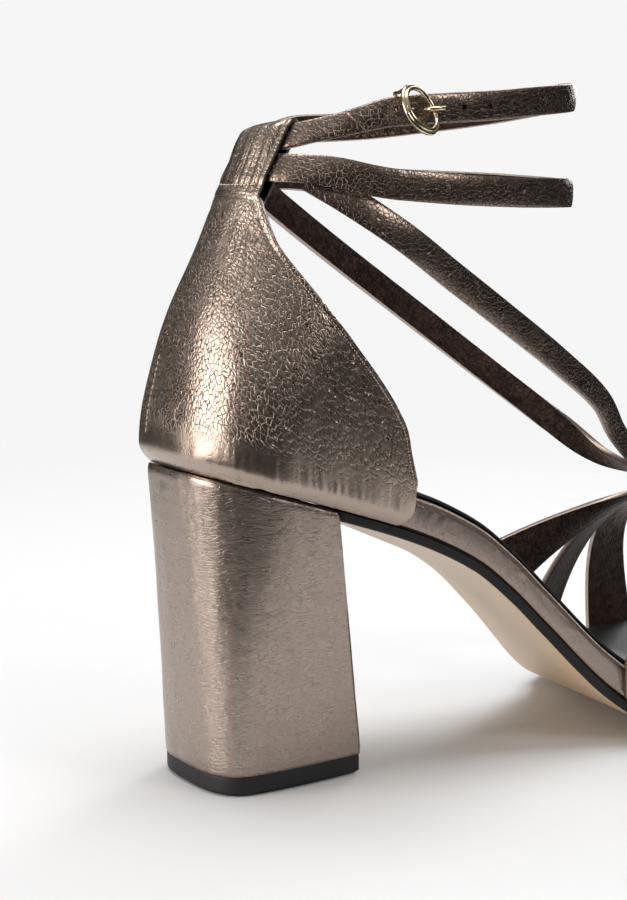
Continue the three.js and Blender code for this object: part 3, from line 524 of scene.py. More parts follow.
# Rows are side reach, inset in mm, level: tuck, wall, groove, cut lip, top
WRAP_SIDE = [(1.5, 0), (.6, .07), (.2, .18), (.05, .36), (0, .58), (.04, .76), (.45, .83), (.6, .86),
             (.12, .885), (.08, .915), (.35, .94), (1.0, .96)]
WRAP_TOP = [(-.9, 0, .97), (-.5, 0, 1), (0, 0, 1), (.5, 0, 1), (.9, 0, .97)]
WRAP_BASE = [(.5, 0, 0), (-.5, 0, 0)]
FOOTBED_RING = ([(-1, *side) for side in WRAP_SIDE] + WRAP_TOP
                + [(1, *side) for side in reversed(WRAP_SIDE)] + WRAP_BASE)
RING_ROWS = len(FOOTBED_RING)
LIP = (7.9, 9.4)
MIRRORED_LIP = (RING_ROWS - 2 - LIP[1], RING_ROWS - 2 - LIP[0])
footbed = sole_tube("footbed_wrap", FOOTBED_RING, footbed_at, SEAT_BACK + .12, LENGTH - .12, 420, 124)
dress(footbed, "leather", WRAP_LEATHER, RAW_EDGE, LINING_AND_GAP_SHADE, nodes=["footbed"])
paint_rows(footbed, RING_ROWS, [LIP, MIRRORED_LIP])
# The tuck at the wrap's foot and the hidden base get the dark lining: painted shade in the gap over the sole
paint_rows(footbed, RING_ROWS, [(0, 1), (RING_ROWS - 3, RING_ROWS)], paint=2)


def sock_at(x, reach, up, rim):
    """The insole pad: lightly cushioned, with soft creases in the waist."""
    y = lerp(middle_y(x), edge_y(x, math.copysign(1, reach), -SOCK_MARGIN - rim), abs(reach))
    lift = up * round_end(x - SEAT_BACK - SOCK_MARGIN + 0.2, HEEL_ROUND)
    crease = 0.0
    if up > 1 and 60 < x < 110:
        crease = 0.12 * noise.noise(Vector((x * 0.5, y * 0.12, 2)))
    return Vector((x, y, top_at(x, y) + 1.2 * SEAM + lift + crease))


SOCK_RING = [(-1, 0, 0), (-1, 0.35, -.05), (-1, 0.7, .12), (-.96, .85, 0), (-.82, 1.1, 0), (-.5, 1.25, 0),
             (0, 1.3, 0), (.5, 1.25, 0), (.82, 1.1, 0), (.96, .85, 0), (1, 0.7, .12), (1, 0.35, -.05),
             (1, 0, 0), (.4, 0, 0), (-.4, 0, 0)]
sock = sole_tube("sock_pad", SOCK_RING, sock_at,
                 SEAT_BACK + SOCK_MARGIN + .4, LENGTH - SOCK_MARGIN - .4, 220, 60)
dress(sock, "sock", SOCK_LEATHER, nodes=["sock"])


def outsole_at(x, reach, level, bulge):
    """The sole: its belly hangs a little lower through the waist."""
    drawn_in = -0.3 * roundness(x) - 0.25 * bump(level - 0.98, .1)
    y = lerp(middle_y(x), edge_y(x, math.copysign(1, reach), drawn_in), abs(reach))
    swell = 0.6 * ease((x - OUTSOLE_START - 6) / 20) * (1 - ease((x / LENGTH - 0.46) / 0.1))
    return Vector((x, y, base_at(x, y) - SEAM - level * OUTSOLE * upright(bend(x, y)) - bulge * swell))


BREAST_LEAN = (TREAD_BACK + TREAD_LENGTH - SEAT_BREAST) / seat_z(SEAT_BREAST)
OUTSOLE_START = SEAT_BREAST + SEAM + BREAST_LEAN * (OUTSOLE * upright(SEAT_BREAST) + 2 * SEAM)
# Rows are side reach, level from the top down, and share of the belly
OUTSOLE_RING = [(-1, 0, 0), (-1, .15, 0), (-1, .5, 0), (-1, .88, 0), (-.985, 1, 0), (-.8, 1, .5),
                (-.6, 1, .8), (-.3, 1, .96), (0, 1, 1), (.3, 1, .96), (.6, 1, .8), (.8, 1, .5),
                (.985, 1, 0), (1, .88, 0), (1, .5, 0), (1, .15, 0), (1, 0, 0), (.4, 0, 0), (-.4, 0, 0)]


def outsole_point(u, v):
    crowded = TIGHT * abs(math.sin(2 * math.pi * u)) / (2 * math.pi) if u > .5 else 0.0
    x = lerp(OUTSOLE_START, LENGTH - .12, u + crowded)
    return outsole_at(x, *rounded(OUTSOLE_RING, v % 1.0))


outsole = skin("sole_leather", outsole_point, 240, 76, (LENGTH, GIRTH), closed=True, capped=True)
dress(outsole, "outsole", SOLE_BASE, SOLE_EDGE, nodes=["outsole"])
paint_rows(outsole, len(OUTSOLE_RING), [(0, 4), (12, 16)])
for face in outsole.data.polygons:
    if len(face.vertices) > 4:
        face.material_index = 1


# Heel block and top piece


def tread_edge(t, side, inset=0.0):
    return Vector((lerp(TREAD_BACK + inset, TREAD_BACK + TREAD_LENGTH - inset, t),
                   side * (TREAD_WIDTH / 2 * read(TREAD_OUTLINE, t) - inset)
                   * round_end(t * TREAD_LENGTH + 0.01, TREAD_ROUND), 0))


def seat_edge(t, side):
    x = lerp(SEAT_BACK + 0.45, SEAT_BREAST, t)
    return Vector((x, edge_y(x, side, -0.4), seat_z(x) - SEAM))


def round_the_heel(p):
    """Share of the way round the block: outer breast corner, back, inner breast corner, across the breast."""
    if p <= 0.86:
        s = p / 0.43 - 1
        return abs(s) ** 2.2, (-1 if s < 0 else 1), 1.0
    q = (p - 0.86) / 0.14
    return 1.0, 1, 1 - 2 * q


def heel_point(u, v):
    """Round the block and up it. The cover is drawn in a little at its top and bottom edges."""
    t, side, share = round_the_heel(u)
    foot = tread_edge(t, side)
    foot.z = LIFT + 0.02
    p = foot.lerp(seat_edge(t, side), v)
    if share < 1:
        q = foot.copy()
        q.y *= -1
        other = q.lerp(seat_edge(1, -1), v)
        p = p.lerp(other, (1 - share) / 2)
    away = Vector((p.x - 26, p.y, 0)).normalized()
    back = ease((14 - p.x) / 8)
    ridge = 0.2 * bump(v * 70 - 0.6, 0.8) + lerp(0.8, 0.5, back) * bump((1 - v) * 70, 0.75)
    ridge -= back * v ** 3
    soft = 0.14 * noise.noise(Vector((u * 26, v * 5, 3))) + 0.05 * noise.noise(Vector((u * 60, v * 30, 7)))
    return p + away * (soft - ridge)


heel = skin("heel_cover", heel_point, 300, 90, (2 * TREAD_LENGTH + 1.9 * TREAD_WIDTH, 72),
            closed=True, capped=True)
dress(heel, "leather", HEEL_LEATHER, nodes=["heel_block"])


def lift_point(u, v):
    """The top piece, a little smaller than the block and rounded at the floor."""
    t, side, share = round_the_heel(u)
    inset = 0.3 + 0.8 * ease(1 - v / 0.16) + 0.12 * bump(v - .93, .05)
    p = tread_edge(t, side, inset)
    if share < 1:
        p.y *= share
    p.z = LIFT * v
    return p


lift = skin("top_piece", lift_point, 220, 16, (150, LIFT), closed=True, capped=True)
dress(lift, "lift", LIFT_RUBBER, nodes=["top_lift"])


# Counter: one sheet with a folded top edge, a back seam and lasting creases


def top_z(along):
    return SEAT_Z + HEIGHT * read(TOP_EDGE, along / REACH)


def base_z(along):
    x = back_x(seat_z(along)) + along
    return seat_z(x) - 1.2 * (1 - ease(along / 14)) + CORNER * clamp((along / REACH - 0.92) / 0.08) ** 2


def to_edge(along, z):
    """Distance from the counter's top edge, in mm."""
    rise = top_z(along + 0.4) - top_z(max(0, along - 0.4))
    return (max(top_z(along), base_z(along) + 2) - z) / math.hypot(1, rise / 0.8)


def counter_relief(along, z, side):
    """How far the leather stands out: topline fold, back seam, creases over the seat, tuck and puckers."""
    edge, foot = to_edge(along, z), z - base_z(along)
    behind = 1 - ease((along - 3) / 14)
    fold = 0.22 * ease((1.3 - edge) / 0.5) - 0.22 * bump(edge - 1.0, 0.25)
    seam = -0.3 * bump(side * along ** 0.62 * 2.1 - 1.0, 0.5) * ease((foot - 6) / 4) * ease((60 - foot) / 20)
    creases = 0.2 * noise.noise(Vector((side * along * 0.85, foot * 0.05, 1))) * ease((13 - foot) / 9)
    hollow = -0.45 * behind * ease((34 - foot) / 16)
    tuck = -2.2 * (1 - clamp(foot / 5.5)) ** 2 * lerp(0.15, 1, behind)
    waves = 0.2 * noise.noise(Vector((side * along * 0.09, z * 0.05, 9)))
    puckers = 0.3 * noise.noise(Vector((side * along * 0.7, z * 0.06, 4)))
    puckers *= ease((z - LOOP_SEAM_Z + 26) / 16) * ease((edge - 3) / 3)
    return fold + seam + creases + hollow + tuck + waves + puckers


def counter_at(u, v):
    s = 2 * u - 1
    side = -1 if s < 0 else 1
    return REACH * abs(s) ** 1.75, side, v


def counter_surface(u, v):
    along, side, v = counter_at(u, v)
    low_z = base_z(along)
    z = lerp(low_z, max(top_z(along), low_z + 2), v)
    return counter_point(along, z, side) + outward(along, z, side) * counter_relief(along, z, side)


counter = skin("counter_leather", counter_surface, 300, 110, (2 * REACH, HEIGHT))
facing(counter, counter.data.polygons[len(counter.data.polygons) // 2], Vector((-1, 0, 0)))
# calm scales the grain's relief and the painted shade in its cracks: weak at the foot, weaker near the top
calm = counter.data.attributes.new("calm", "FLOAT", "POINT")
for v in counter.data.vertices:
    x, y, z = v.co / MM
    foot = z - seat_z(x + TREAD_MIDDLE)
    low_band, high_band = ease((foot - 4) / 14), ease((z - LOOP_SEAM_Z + 5) / 5)
    calm.data[v.index].value = lerp(0.1, 1.0, low_band) * lerp(1.0, 0.4, high_band)
wall(counter, WALL, -1, 0.45, COUNTER_LEATHER, LINING_AND_GAP_SHADE, FOLDED_EDGE)
dress(counter, "leather")


def loop_along(span):
    """How far ahead of the back line the loop ends, for its width there."""
    return ANKLE_BACK * (1 - math.sqrt(1 - (span / ANKLE_WIDTH) ** 2))


def inside(along, z, side, deep):
    """A point deep mm inside the counter's face."""
    return counter_point(along, z, side) - outward(along, z, side) * deep


LEAN_UP = Vector((math.sin(LEAN), 0, math.cos(LEAN)))


def loop_at(side, share, z, deep):
    """A point of the loop: share of the way round from the back, deep mm inside, its top cut askew."""
    up = (z - LOOP_SEAM_Z) / LOOP_HEIGHT
    reach = loop_along(lerp(LOOP_WIDTH, LOOP_TOP, clamp(up))) * share ** 2
    tilt = -LOOP_TILT * counter_point(reach, z, side).y * max(0, up)
    return inside(reach, z, side, deep) + LEAN_UP * (tilt / math.cos(LEAN))


def tab_surface(u, v):
    """Up the outside of the loop, over the fold and down its inside."""
    s = 2 * u - 1
    side, share = (-1 if s < 0 else 1), abs(s)
    inner = 2 * LOOP_WALL + LOOP_GAP
    path = [(LOOP_SEAM_Z - 1.6, -0.25), (LOOP_SEAM_Z + 0.4, -0.15), (LOOP_TOP_Z - 2.2, 0),
            (LOOP_TOP_Z - 0.7, 0.35), (LOOP_TOP_Z - 0.02, 1.5), (LOOP_TOP_Z - 0.02, inner - 1.5),
            (LOOP_TOP_Z - 0.7, inner - 0.35), (LOOP_TOP_Z - 2.2, inner),
            (LOOP_SEAM_Z + 0.4, inner), (LOOP_SEAM_Z - 1.6, inner - 0.2)]
    shares = [0, .06, .38, .43, .48, .54, .59, .64, .95, 1]
    k = next(i for i in range(1, len(shares)) if v <= shares[i] + 1e-9)
    t = (v - shares[k - 1]) / (shares[k] - shares[k - 1])
    z, deep = (lerp(a, b, t) for a, b in zip(path[k - 1], path[k]))
    mid = ease(v / 0.1) * ease((0.46 - v) / 0.1)
    crumple = 1.3 * bump(v - 0.33, 0.14) + 0.34 * noise.noise(Vector((s * 7, v * 2.2, 8)))
    crumple += 0.14 * noise.noise(Vector((s * 22, v * 3, 2)))
    roll = 0.45 * ease((share - 0.84) / 0.08) - 0.3 * bump(share - 0.8, 0.03)
    seam = -0.35 * bump((v - 0.07) / 0.03, 1)
    return loop_at(side, share, z, deep - mid * (crumple * (1 - ease((share - .8) / .1)) + roll) - seam)


tab = skin("counter_loop", tab_surface, 90, 130, (24, 36))
facing(tab, face_near(tab, tab_surface(0.5, 0.25)), Vector((-1, 0, 0)))
calm = tab.data.attributes.new("calm", "FLOAT", "POINT")
for value in calm.data:
    value.value = 0.45
wall(tab, LOOP_WALL, -1, 0.25, COUNTER_LEATHER, LINING_AND_GAP_SHADE, FOLDED_EDGE)
dress(tab, "leather")


# Ankle straps

LOOP_MIDDLE = (LOOP_SEAM_Z + LOOP_TOP_Z) / 2 - 0.2
PITCH = (STRAP + 0.35) * math.cos(LEAN)
DEEP = LOOP_WALL + LOOP_GAP / 2
UPPER = {"rise": 11.8, "loop": 0.1, "side": 0.075, "z": LOOP_MIDDLE + PITCH / 2, "col": 1}
LOWER = {"rise": -6.6, "loop": 0.045, "side": -0.03, "z": LOOP_MIDDLE - PITCH / 2, "col": 2}


def ring_turn(ring, x):
    return math.acos(1 - (x - back_x(ring["z"])) / ANKLE_BACK)


def ring_point(ring, turn, up, layer=0.0):
    """A point of a strap round the ankle: turn from the back, up across its width, layer outwards."""
    back = back_x(ring["z"])
    near = 1 - ease((1 - math.cos(turn) - 0.14) / 0.5)
    lean = LEAN * near
    length = ANKLE_BACK if math.cos(turn) > 0 else ANKLE_FRONT - back - ANKLE_BACK
    away = math.acos(math.cos(turn)) / math.pi
    y = -math.sin(turn) * ANKLE_WIDTH / 2
    lift_up = ring["rise"] * read(RING_RISE, away, ring["col"]) - y * lerp(ring["side"], ring["loop"], near)
    out = Vector((-math.cos(turn) * ANKLE_WIDTH / 2, -math.sin(turn) * length, 0)).normalized()
    return (Vector((back + ANKLE_BACK - length * math.cos(turn), y, ring["z"]))
            + Vector((math.sin(lean), 0, math.cos(lean))) * (up + lift_up * math.cos(lean)) + out * layer)


def pillow(v):
    """Straps are folded leather: a little fuller in the middle of their width."""
    return 0.4 * (1 - abs(2 * v - 1) ** 2.6)


def rough(a, b):
    """Small unevenness of a strap's face, a and b in mm."""
    return 0.07 * noise.noise(Vector((a * 0.5, b * 0.35, 6)))


def lower_surface(u, v):
    turn = u * 2 * math.pi
    return ring_point(LOWER, turn, (v - .5) * STRAP, -DEEP + pillow(v) + rough(u * 250, v * STRAP))


lower = skin("ankle_strap_lower_leather", lower_surface, 420, 10, (250, STRAP), closed=True)
UPPER_TURN = ring_turn(UPPER, BUCKLE_AT)
PER_MM = 1 / (ANKLE_BACK * 0.97)
BAR_TURN = UPPER_TURN - (RING / 2 - 1.4) * PER_MM
TIP_TURN = 2 * math.pi - UPPER_TURN + TIP_OVERLAP * PER_MM
LAP = STRAP_T + SEAM


def lap_layer(turn):
    """The free end climbs on to the strap under it."""
    return LAP * ease((turn - 1.3 * math.pi) / (0.4 * math.pi))


def upper_surface(u, v):
    up = (v - .5) * STRAP
    turn = lerp(-BAR_TURN, TIP_TURN + v * TIP_SLANT * PER_MM, u)
    layer = lap_layer(turn) - DEEP + pillow(v) + rough(u * 260, v * STRAP)
    bar_end = ease(u / 0.006)
    return ring_point(UPPER, -turn, up, layer - 0.25 * (1 - bar_end))


upper = skin("ankle_strap_upper_leather", upper_surface, 440, 10, (260, STRAP))


def look_out(obj):
    """Makes a strap's outer face look away from the ankle's middle."""
    middle = Vector(row((ANKLE_FRONT / 2 + 15, 0, 150)))
    face = max(obj.data.polygons, key=lambda f: abs(f.normal.y) * f.area)
    away = face.center - middle
    away.z = 0
    facing(obj, face, away)


for strap in (lower, upper):
    look_out(strap)
    wall(strap, STRAP_T, 0, 0.4, STRAP_LEATHER, INNER_LEATHER, STRAP_EDGE)


def hole_cutter(turn, radius):
    p = ring_point(UPPER, turn, 0, LAP - DEEP)
    q = ring_point(UPPER, turn, 0, LAP - DEEP + 1)
    out = q - p
    bpy.ops.mesh.primitive_cylinder_add(vertices=20, radius=radius * MM, depth=1.7 * MM,
                                        location=row(p + out * 0.2),
                                        rotation=out.to_track_quat("Z", "Y").to_euler())
    return bpy.context.object


cutters = [hole_cutter(UPPER_TURN + along * PER_MM, HOLE / 2) for along in HOLES]
bpy.ops.object.select_all(action="DESELECT")
for c in cutters:
    c.select_set(True)
bpy.context.view_layer.objects.active = cutters[0]
bpy.ops.object.join()
cutter = bpy.context.object
apply(upper, "BOOLEAN", object=cutter, operation="DIFFERENCE", solver="EXACT")
bpy.data.objects.remove(cutter)
dress(lower, "leather", nodes=["ankle_strap_lower"])
dress(upper, "leather", nodes=["ankle_strap_upper"])


# Vamp: three bands, the keeper and the throat strap

KEEPER_Z = seat_z(KEEPER_AT) + depth(KEEPER_AT) + VAMP_RISE
LAYER = VAMP_T * 0.8
THROAT_Z = KEEPER_Z + 2 * LAYER + VAMP_T / 2 + SEAM + STRAP_T / 2


def band_surface(band):
    """One band: up from its outer foot, over the layers in the keeper, down to its inner foot."""
    outer, inner, keeper, layer = band

    def surface(u, v):
        across = v - .5
        side = -1 if u < .5 else 1
        climb = 1 - abs(2 * u - 1)
        straight = 0.16
        x = (outer if side < 0 else inner) * LENGTH + across * FOOT_WIDTH
        y = edge_y(x, side, 2 * SEAM + VAMP_T / 2)
        rim = top_at(x, y)
        gather = 0.22 * noise.noise(Vector((v * 5, u * 3, layer))) * ease((climb - .3) / .5)
        if climb < straight:
            return Vector((x, y + side * gather, lerp(base_at(x, y), rim, climb / straight)))
        arc = (climb - straight) / (1 - straight) * math.pi / 2
        high_z = lerp(rim, KEEPER_Z + layer * LAYER, math.sin(arc) ** FULLNESS)
        fullness = math.cos(arc) ** FULLNESS if arc < math.pi / 2 - 1e-6 else 0.0
        top = keeper * LENGTH + across * TOP_WIDTH
        swell = 1 + 0.006 * pillow(v)
        return Vector((lerp(x, top, math.sin(arc)), y * fullness * swell + side * gather * fullness, high_z))
    return surface


for number, band in enumerate(BANDS):
    obj = skin(f"vamp_band_{number + 1}", band_surface(band), 150, 14, (130, 15))
    facing(obj, top_face(obj), Vector((0, 0, 1)))
    wall(obj, VAMP_T * 0.9, 0, 0.35, STRAP_LEATHER, INNER_LEATHER, STRAP_EDGE)
    dress(obj, "leather")
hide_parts("vamp_straps")

THROAT_X = back_x(LOWER["z"]) + THROAT_START


def throat_row(way, side):
    """A point of the throat strap's middle line on one side, by its way to the keeper."""
    fall, off = (1, 2) if side < 0 else (3, 4)
    return Vector((lerp(THROAT_X, KEEPER_AT, way), side * ANKLE_WIDTH * read(THROAT, way, off),
                   lerp(LOWER["z"] - 3, THROAT_Z, read(THROAT, way, fall))))


def centripetal(points, count):
    """Even points along a centripetal Catmull-Rom curve."""
    pts = [points[0] * 2 - points[1], *points, points[-1] * 2 - points[-2]]
    fine = []
    for i in range(1, len(pts) - 2):
        p0, p1, p2, p3 = pts[i - 1:i + 3]
        d = [max(1e-4, (b - a).length) ** 0.5 for a, b in ((p0, p1), (p1, p2), (p2, p3))]
        t1 = ((p1 - p0) / d[0] - (p2 - p0) / (d[0] + d[1]) + (p2 - p1) / d[1]) * d[1]
        t2 = ((p2 - p1) / d[1] - (p3 - p1) / (d[1] + d[2]) + (p3 - p2) / d[2]) * d[1]
        for k in range(24):
            t = k / 24
            fine.append(p1 * (2 * t ** 3 - 3 * t * t + 1) + t1 * (t ** 3 - 2 * t * t + t)
                        + p2 * (3 * t * t - 2 * t ** 3) + t2 * (t ** 3 - t * t))
    fine.append(points[-1].copy())
    lengths = [0.0]
    for a, b in zip(fine, fine[1:]):
        lengths.append(lengths[-1] + (b - a).length)
    out, k = [], 0
    for i in range(count + 1):
        want = lengths[-1] * i / count
        while k < len(lengths) - 2 and lengths[k + 1] < want:
            k += 1
        out.append(fine[k].lerp(fine[k + 1], (want - lengths[k]) / max(1e-9, lengths[k + 1] - lengths[k])))
    return out, lengths[-1]


ways = [r[0] for r in THROAT]
in_keeper = [Vector((KEEPER_AT, s * KEEPER_WIDTH, THROAT_Z)) for s in (-.35, 0, .35)]
THROAT_STEPS = 400
throat_line, throat_length = centripetal([throat_row(w, -1) for w in ways] + in_keeper
                                         + [throat_row(w, 1) for w in reversed(ways)], THROAT_STEPS)


def throat_surface(u, v):
    """The strap faces outwards at the ankle and rolls flat towards the keeper."""
    k = min(THROAT_STEPS, round(u * THROAT_STEPS))
    i = min(k, THROAT_STEPS - 1)
    a, b = throat_line[max(0, i - 1)], throat_line[i + 1]
    at = throat_line[k]
    along = (b - a).normalized()
    roll = read(THROAT, (at.x - THROAT_X) / (KEEPER_AT - THROAT_X), 5) * math.pi / 2
    side = -1 if at.y < 0 else 1
    face = Vector((0, side * math.cos(roll), math.sin(roll)))
    across = face.cross(along).normalized()
    out = across.cross(along).normalized()
    return at + across * ((v - .5) * STRAP) + out * (pillow(v) * (1 if out.y * side >= 0 else -1))


throat = skin("throat_strap_leather", throat_surface, THROAT_STEPS, 8, (throat_length, STRAP))
facing(throat, face_near(throat, (60, -22, 130)), Vector((0, -1, 0)))
wall(throat, STRAP_T, 0, 0.35, STRAP_LEATHER, INNER_LEATHER, STRAP_EDGE)
dress(throat, "leather", nodes=["throat_strap"])

KEEPER_LOW = KEEPER_Z - VAMP_T / 2 - 2.5 * SEAM
KEEPER_HIGH = THROAT_Z + STRAP_T / 2 + SEAM


def keeper_surface(u, v):
    """A flat loop round the bands: u runs round it, v across its width."""
    half_x, half_z = KEEPER_LENGTH / 2 + KEEPER_WALL, (KEEPER_HIGH - KEEPER_LOW) / 2 + KEEPER_WALL
    angle = u * 2 * math.pi
    c, s = math.cos(angle), math.sin(angle)
    corner = 7.0
    scale = (abs(c) ** corner + abs(s) ** corner) ** (-1 / corner)
    return Vector((KEEPER_AT + half_x * c * scale, (v - .5) * KEEPER_WIDTH,
                   (KEEPER_LOW + KEEPER_HIGH) / 2 + half_z * s * scale))


keeper = skin("vamp_keeper_leather", keeper_surface, 160, 10, (48, KEEPER_WIDTH), closed=True)
facing(keeper, top_face(keeper), Vector((0, 0, 1)))
wall(keeper, KEEPER_WALL, -1, 0.3, STRAP_LEATHER, INNER_LEATHER, STRAP_EDGE)
dress(keeper, "leather", nodes=["vamp_keeper"])


# Buckle: a pair of rings with a bar behind the strap, and the prong

# The strap's directions where the buckle sits: along it, up across it and out of it
seat = ring_point(UPPER, UPPER_TURN, 0, LAP)
ahead = (ring_point(UPPER, UPPER_TURN + 0.01, 0, LAP) - seat).normalized()
up_way = Vector((0, 0, 1))
up_way = (up_way - ahead * up_way.dot(ahead)).normalized()
out_way = ahead.cross(up_way).normalized()
seat = seat + out_way * (-DEEP + STRAP_T / 2)
RADIUS = RING / 2
STAND = RADIUS * math.sin(RING_TILT) + WIRE / 2 + SEAM + 0.2


def at_buckle(a, o, u):
    return seat + ahead * a + out_way * o + up_way * u


def on_ring(angle, radius, shift=0.0):
    """A point of a ring, which leans out from the strap by its tilt and is turned by its twist."""
    low_side, level = radius * math.cos(angle), radius * math.sin(angle)
    near = low_side * math.cos(RING_TILT) + shift * math.sin(RING_TILT)
    return at_buckle(near * math.cos(RING_TWIST) - level * math.sin(RING_TWIST),
                     STAND - low_side * math.sin(RING_TILT) + shift * math.cos(RING_TILT),
                     near * math.sin(RING_TWIST) + level * math.cos(RING_TWIST))


def ring_object(radius, shift):
    centre = (on_ring(0, radius, shift) + on_ring(math.pi, radius, shift)) / 2
    e1 = (on_ring(0, radius, shift) - centre).normalized()
    e2 = (on_ring(math.pi / 2, radius, shift) - centre).normalized()
    turn = Matrix((e1, e2, e1.cross(e2))).transposed().to_euler()
    bpy.ops.mesh.primitive_torus_add(major_segments=96, minor_segments=20, major_radius=radius * MM,
                                     minor_radius=WIRE / 2 * MM, location=row(centre), rotation=turn)
    return bpy.context.object


def wire_object(points, diameter):
    """Round wire along a smooth line through the points."""
    line, _ = centripetal(points, 64)
    curve = bpy.data.curves.new("wire", "CURVE")
    curve.dimensions = "3D"
    curve.bevel_depth = diameter / 2 * MM
    curve.bevel_resolution = 6
    curve.use_fill_caps = True
    spline = curve.splines.new("POLY")
    spline.points.add(len(line) - 1)
    for q, p in zip(spline.points, line):
        q.co = (*row(p), 1)
    obj = bpy.data.objects.new("wire", curve)
    bpy.context.scene.collection.objects.link(obj)
    alone(obj)
    bpy.ops.object.convert(target="MESH")
    return bpy.context.object


def joined(name, parts):
    """Joins parts into one named piece with its place in its mesh."""
    bpy.ops.object.select_all(action="DESELECT")
    for p in parts:
        p.select_set(True)
    bpy.context.view_layer.objects.active = parts[0]
    if len(parts) > 1:
        bpy.ops.object.join()
    obj = bpy.context.object
    bpy.ops.object.transform_apply(location=True, rotation=True, scale=True)
    bpy.ops.object.shade_smooth()
    obj.name = obj.data.name = name
    return obj


BEHIND = -(STRAP_T + SEAM + 0.25 + WIRE / 2)


def sunk(p, level):
    return p + out_way * (level - (p - seat).dot(out_way))


first, last = on_ring(math.pi / 2, RADIUS), on_ring(-math.pi / 2, RADIUS)


def tucked(p, level):
    """Beside the strap's edge, at a level under or over it."""
    q = sunk(p, level)
    up = (q - seat).dot(up_way)
    return q + up_way * (math.copysign(STRAP / 2 + 0.75, up) - up)


bar = [tucked(first, BEHIND).lerp(tucked(last, BEHIND), t) for t in (0.04, 0.5, 0.96)]
stirrup = wire_object([first, tucked(first, 0.6), *bar, tucked(last, 0.6), last], WIRE * 0.8)
pair = [ring_object(RADIUS, 0), ring_object(RADIUS - PAIR_STEP, WIRE * 0.4)]
buckle = joined("buckle_rings", [*pair, stirrup])
dress(buckle, "buckle", GOLD, nodes=["buckle_frame"])

rim = on_ring(-RING_TWIST, RADIUS) - seat
pa, po = rim.dot(ahead), rim.dot(out_way)
turn = WIRE / 2 + PAIR_STEP / 2 + SEAM + 0.75
prong = joined("buckle_tongue", [wire_object([
    at_buckle(pa - 0.4 - turn, po + 0.2, 0), at_buckle(pa - 0.4 - turn * 0.6, po + turn * 0.85, 0),
    at_buckle(pa + 0.3, po + turn + 0.1, 0), at_buckle(pa + turn, po + turn * 0.6, 0),
    at_buckle(pa + 2.7, 0.9, 0), at_buckle(pa + 3.1, -0.8, 0)], 1.0)])
dress(prong, "buckle", GOLD, nodes=["buckle_prong"])


# Stitches: one short thread lozenge for each stitch, along lines that lie on the leather


def stitches(name, line, pitch=1.25, length=0.95, radius=0.17):
    """Lays a row of stitches on a line, which is a list of (point, outward) in mm."""
    bpy.ops.object.select_all(action="DESELECT")
    bpy.ops.mesh.primitive_uv_sphere_add(segments=8, ring_count=6, radius=1, location=(0, 0, 0))
    thread = bpy.context.object
    laid, walked, target = [], 0.0, 0.0
    for (a, na), (b, _) in zip(line, line[1:]):
        step = (b - a).length
        while target <= walked + step and step > 0:
            p = a.lerp(b, (target - walked) / step)
            along = (b - a).normalized()
            across = na.cross(along).normalized()
            up = along.cross(across)
            axes = Matrix((along * (length / 2), across * radius, up * (radius * 0.8))).transposed() * MM
            stitch = thread.copy()
            stitch.data = thread.data.copy()
            stitch.data.transform(Matrix.Translation(row(p)) @ axes.to_4x4())
            bpy.context.scene.collection.objects.link(stitch)
            laid.append(stitch)
            target += pitch
        walked += step
    bpy.data.objects.remove(thread)
    return dress(joined(name, laid), "leather", THREAD)


def on_counter(along, z, side, lift_by):
    """A point on the counter's leather, lift_by mm above it, with the direction out of it."""
    n = outward(along, z, side)
    return counter_point(along, z, side) + n * (counter_relief(along, z, side) + lift_by), n


def top_line(side, inset):
    """The line of the topstitching, inset mm below the top edge."""
    line = []
    for k in range(400):
        along = lerp(2.2, REACH - 0.8, k / 399)
        rise = (top_z(along + 0.4) - top_z(along - 0.4)) / 0.8
        z = top_z(along) - inset * math.hypot(1, rise)
        if z > base_z(along) + 1.2:
            line.append(on_counter(along, z, side, 0.12))
    return line


stitches("topstitch_outer", top_line(-1, 1.0), pitch=0.85, length=0.62, radius=0.12)
stitches("topstitch_inner", top_line(1, 1.0), pitch=0.85, length=0.62, radius=0.12)


def back_line(side, start, end):
    along = 0.55
    return [on_counter(along, lerp(start, end, k / 80), side, 0.1) for k in range(81)]


stitches("back_seam_stitch", back_line(1, SEAT_Z + 8, SEAT_Z + 26), pitch=1.5, length=1.15, radius=0.17)


def seam_line():
    line = []
    for k in range(61):
        s = lerp(-0.74, 0.74, k / 60)
        p = Vector(tab_surface((s + 1) / 2, 0.075))
        reach = loop_along(LOOP_WIDTH) * s * s
        n = outward(max(reach, 0.06), LOOP_SEAM_Z, -1 if s < 0 else 1)
        line.append((p + n * 0.25, n))
    return line


stitches("loop_seam_stitch", seam_line(), pitch=1.1, length=0.8)
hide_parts("counter")


# Floor, light and camera

BACKDROP = "#f6f6f6"
bpy.ops.mesh.primitive_plane_add(size=4, location=(0, 0, -0.0002))
floor = bpy.context.object
floor.name = "studio_floor"
floor_paint, tree, shader = new_material("white_studio_sweep")
shader.inputs["Base Color"].default_value = srgb("#e0e1e2")
shader.inputs["Roughness"].default_value = 0.8
shader.inputs["Specular IOR Level"].default_value = 0.1
spot = node(tree, "ShaderNodeTexCoord").outputs["Object"]
reach = node(tree, "ShaderNodeVectorMath", [(0, spot)], operation="LENGTH")
fade = node(tree, "ShaderNodeMapRange", [("Value", reach.outputs["Value"])], interpolation_type="SMOOTHSTEP")
fade.inputs["From Min"].default_value = 0.22
fade.inputs["From Max"].default_value = 0.65
clear = node(tree, "ShaderNodeBsdfTransparent")
both = node(tree, "ShaderNodeMixShader", [(0, fade.outputs["Result"]), (1, shader.outputs["BSDF"]),
                                          (2, clear.outputs["BSDF"])])
tree.links.new(both.outputs["Shader"], tree.nodes["Material Output"].inputs["Surface"])
floor.data.materials.append(floor_paint)

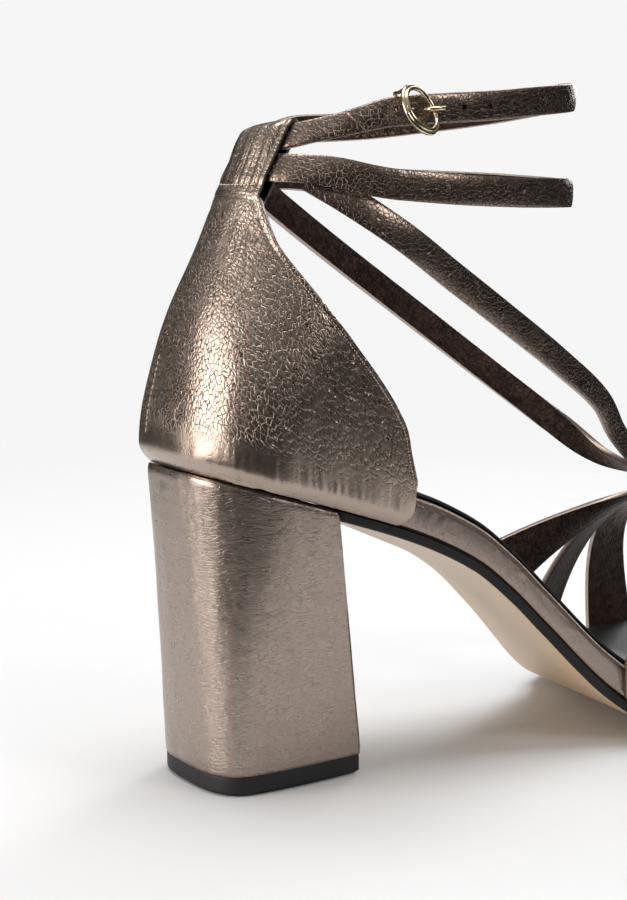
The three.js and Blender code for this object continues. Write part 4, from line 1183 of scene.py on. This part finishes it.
# A black card lies on the floor in front of the picture, seen by the foil's mirror image alone
bpy.ops.mesh.primitive_plane_add(size=1, location=(-0.226, -0.39, 0.002), rotation=(0, 0, math.radians(-32)))
card = bpy.context.object
card.name = "black_card"
card.scale = (1.3, 0.67, 1)
bpy.ops.object.transform_apply(location=False, rotation=False, scale=True)
card.data.materials.append(plain("black_flag_card", "#050505", 0.9))
card.visible_camera = False
card.visible_shadow = False
card.visible_diffuse = False

# The camera sees an even pale backdrop; the foil mirrors a darker room with a bright ceiling
world = bpy.data.worlds.new("studio")
bpy.context.scene.world = world
world.use_nodes = True
tree = world.node_tree
room = tree.nodes["Background"]
way = node(tree, "ShaderNodeTexCoord").outputs["Generated"]
upwards = node(tree, "ShaderNodeSeparateXYZ", [(0, way)]).outputs["Z"]
level = node(tree, "ShaderNodeMapRange", [("Value", upwards)])
level.inputs["From Min"].default_value = -1
shade = ramp(tree, level.outputs["Result"], [(0.0, grey(0.85)), (0.2, grey(0.6)), (0.3, grey(0.02)),
                                             (0.62, grey(0.02)), (0.75, grey(0.22)), (1.0, grey(0.5))])
tree.links.new(shade, room.inputs["Color"])
backdrop = node(tree, "ShaderNodeBackground", in_Color=srgb(BACKDROP))
seen = node(tree, "ShaderNodeLightPath").outputs["Is Camera Ray"]
mixed = node(tree, "ShaderNodeMixShader", [(0, seen), (1, room.outputs["Background"]),
                                           (2, backdrop.outputs["Background"])])
tree.links.new(mixed.outputs["Shader"], tree.nodes["World Output"].inputs["Surface"])


def lamp(name, at, target, size, power, colour="#ffffff"):
    bpy.ops.object.light_add(type="AREA", location=at)
    light = bpy.context.object
    light.name = name
    light.data.shape = "RECTANGLE"
    light.data.size, light.data.size_y = size
    light.data.energy = power
    light.data.color = srgb(colour)[:3]
    light.visible_camera = False
    light.rotation_euler = (Vector(target) - Vector(at)).to_track_quat("-Z", "Y").to_euler()
    return light


lamp("key_strip", (-1.1, 0.1, 0.1), (0.0, 0, 0.08), (0.9, 1.3), 19, "#fff6f0")
lamp("front_box", (0.7, -1.3, 0.85), (0.0, 0, 0.1), (0.5, 0.4), 5, "#fffaf6")
lamp("top_box", (0.1, 0.15, 1.3), (0.03, 0, 0.05), (1.0, 0.8), 13)
lamp("rim_strip", (0.9, 0.6, 0.6), (0.05, 0, 0.08), (0.3, 0.9), 4)

bpy.ops.object.camera_add(location=(-0.2452, -0.4195, 0.1539),
                          rotation=(math.radians(90) - math.atan2(300, 2000), 0, math.radians(-32)))
camera = bpy.context.object
camera.data.lens = 80
camera.data.sensor_width = 36
camera.data.clip_start = 0.01
bpy.context.scene.camera = camera
scene = bpy.context.scene
scene.view_settings.view_transform = "Standard"
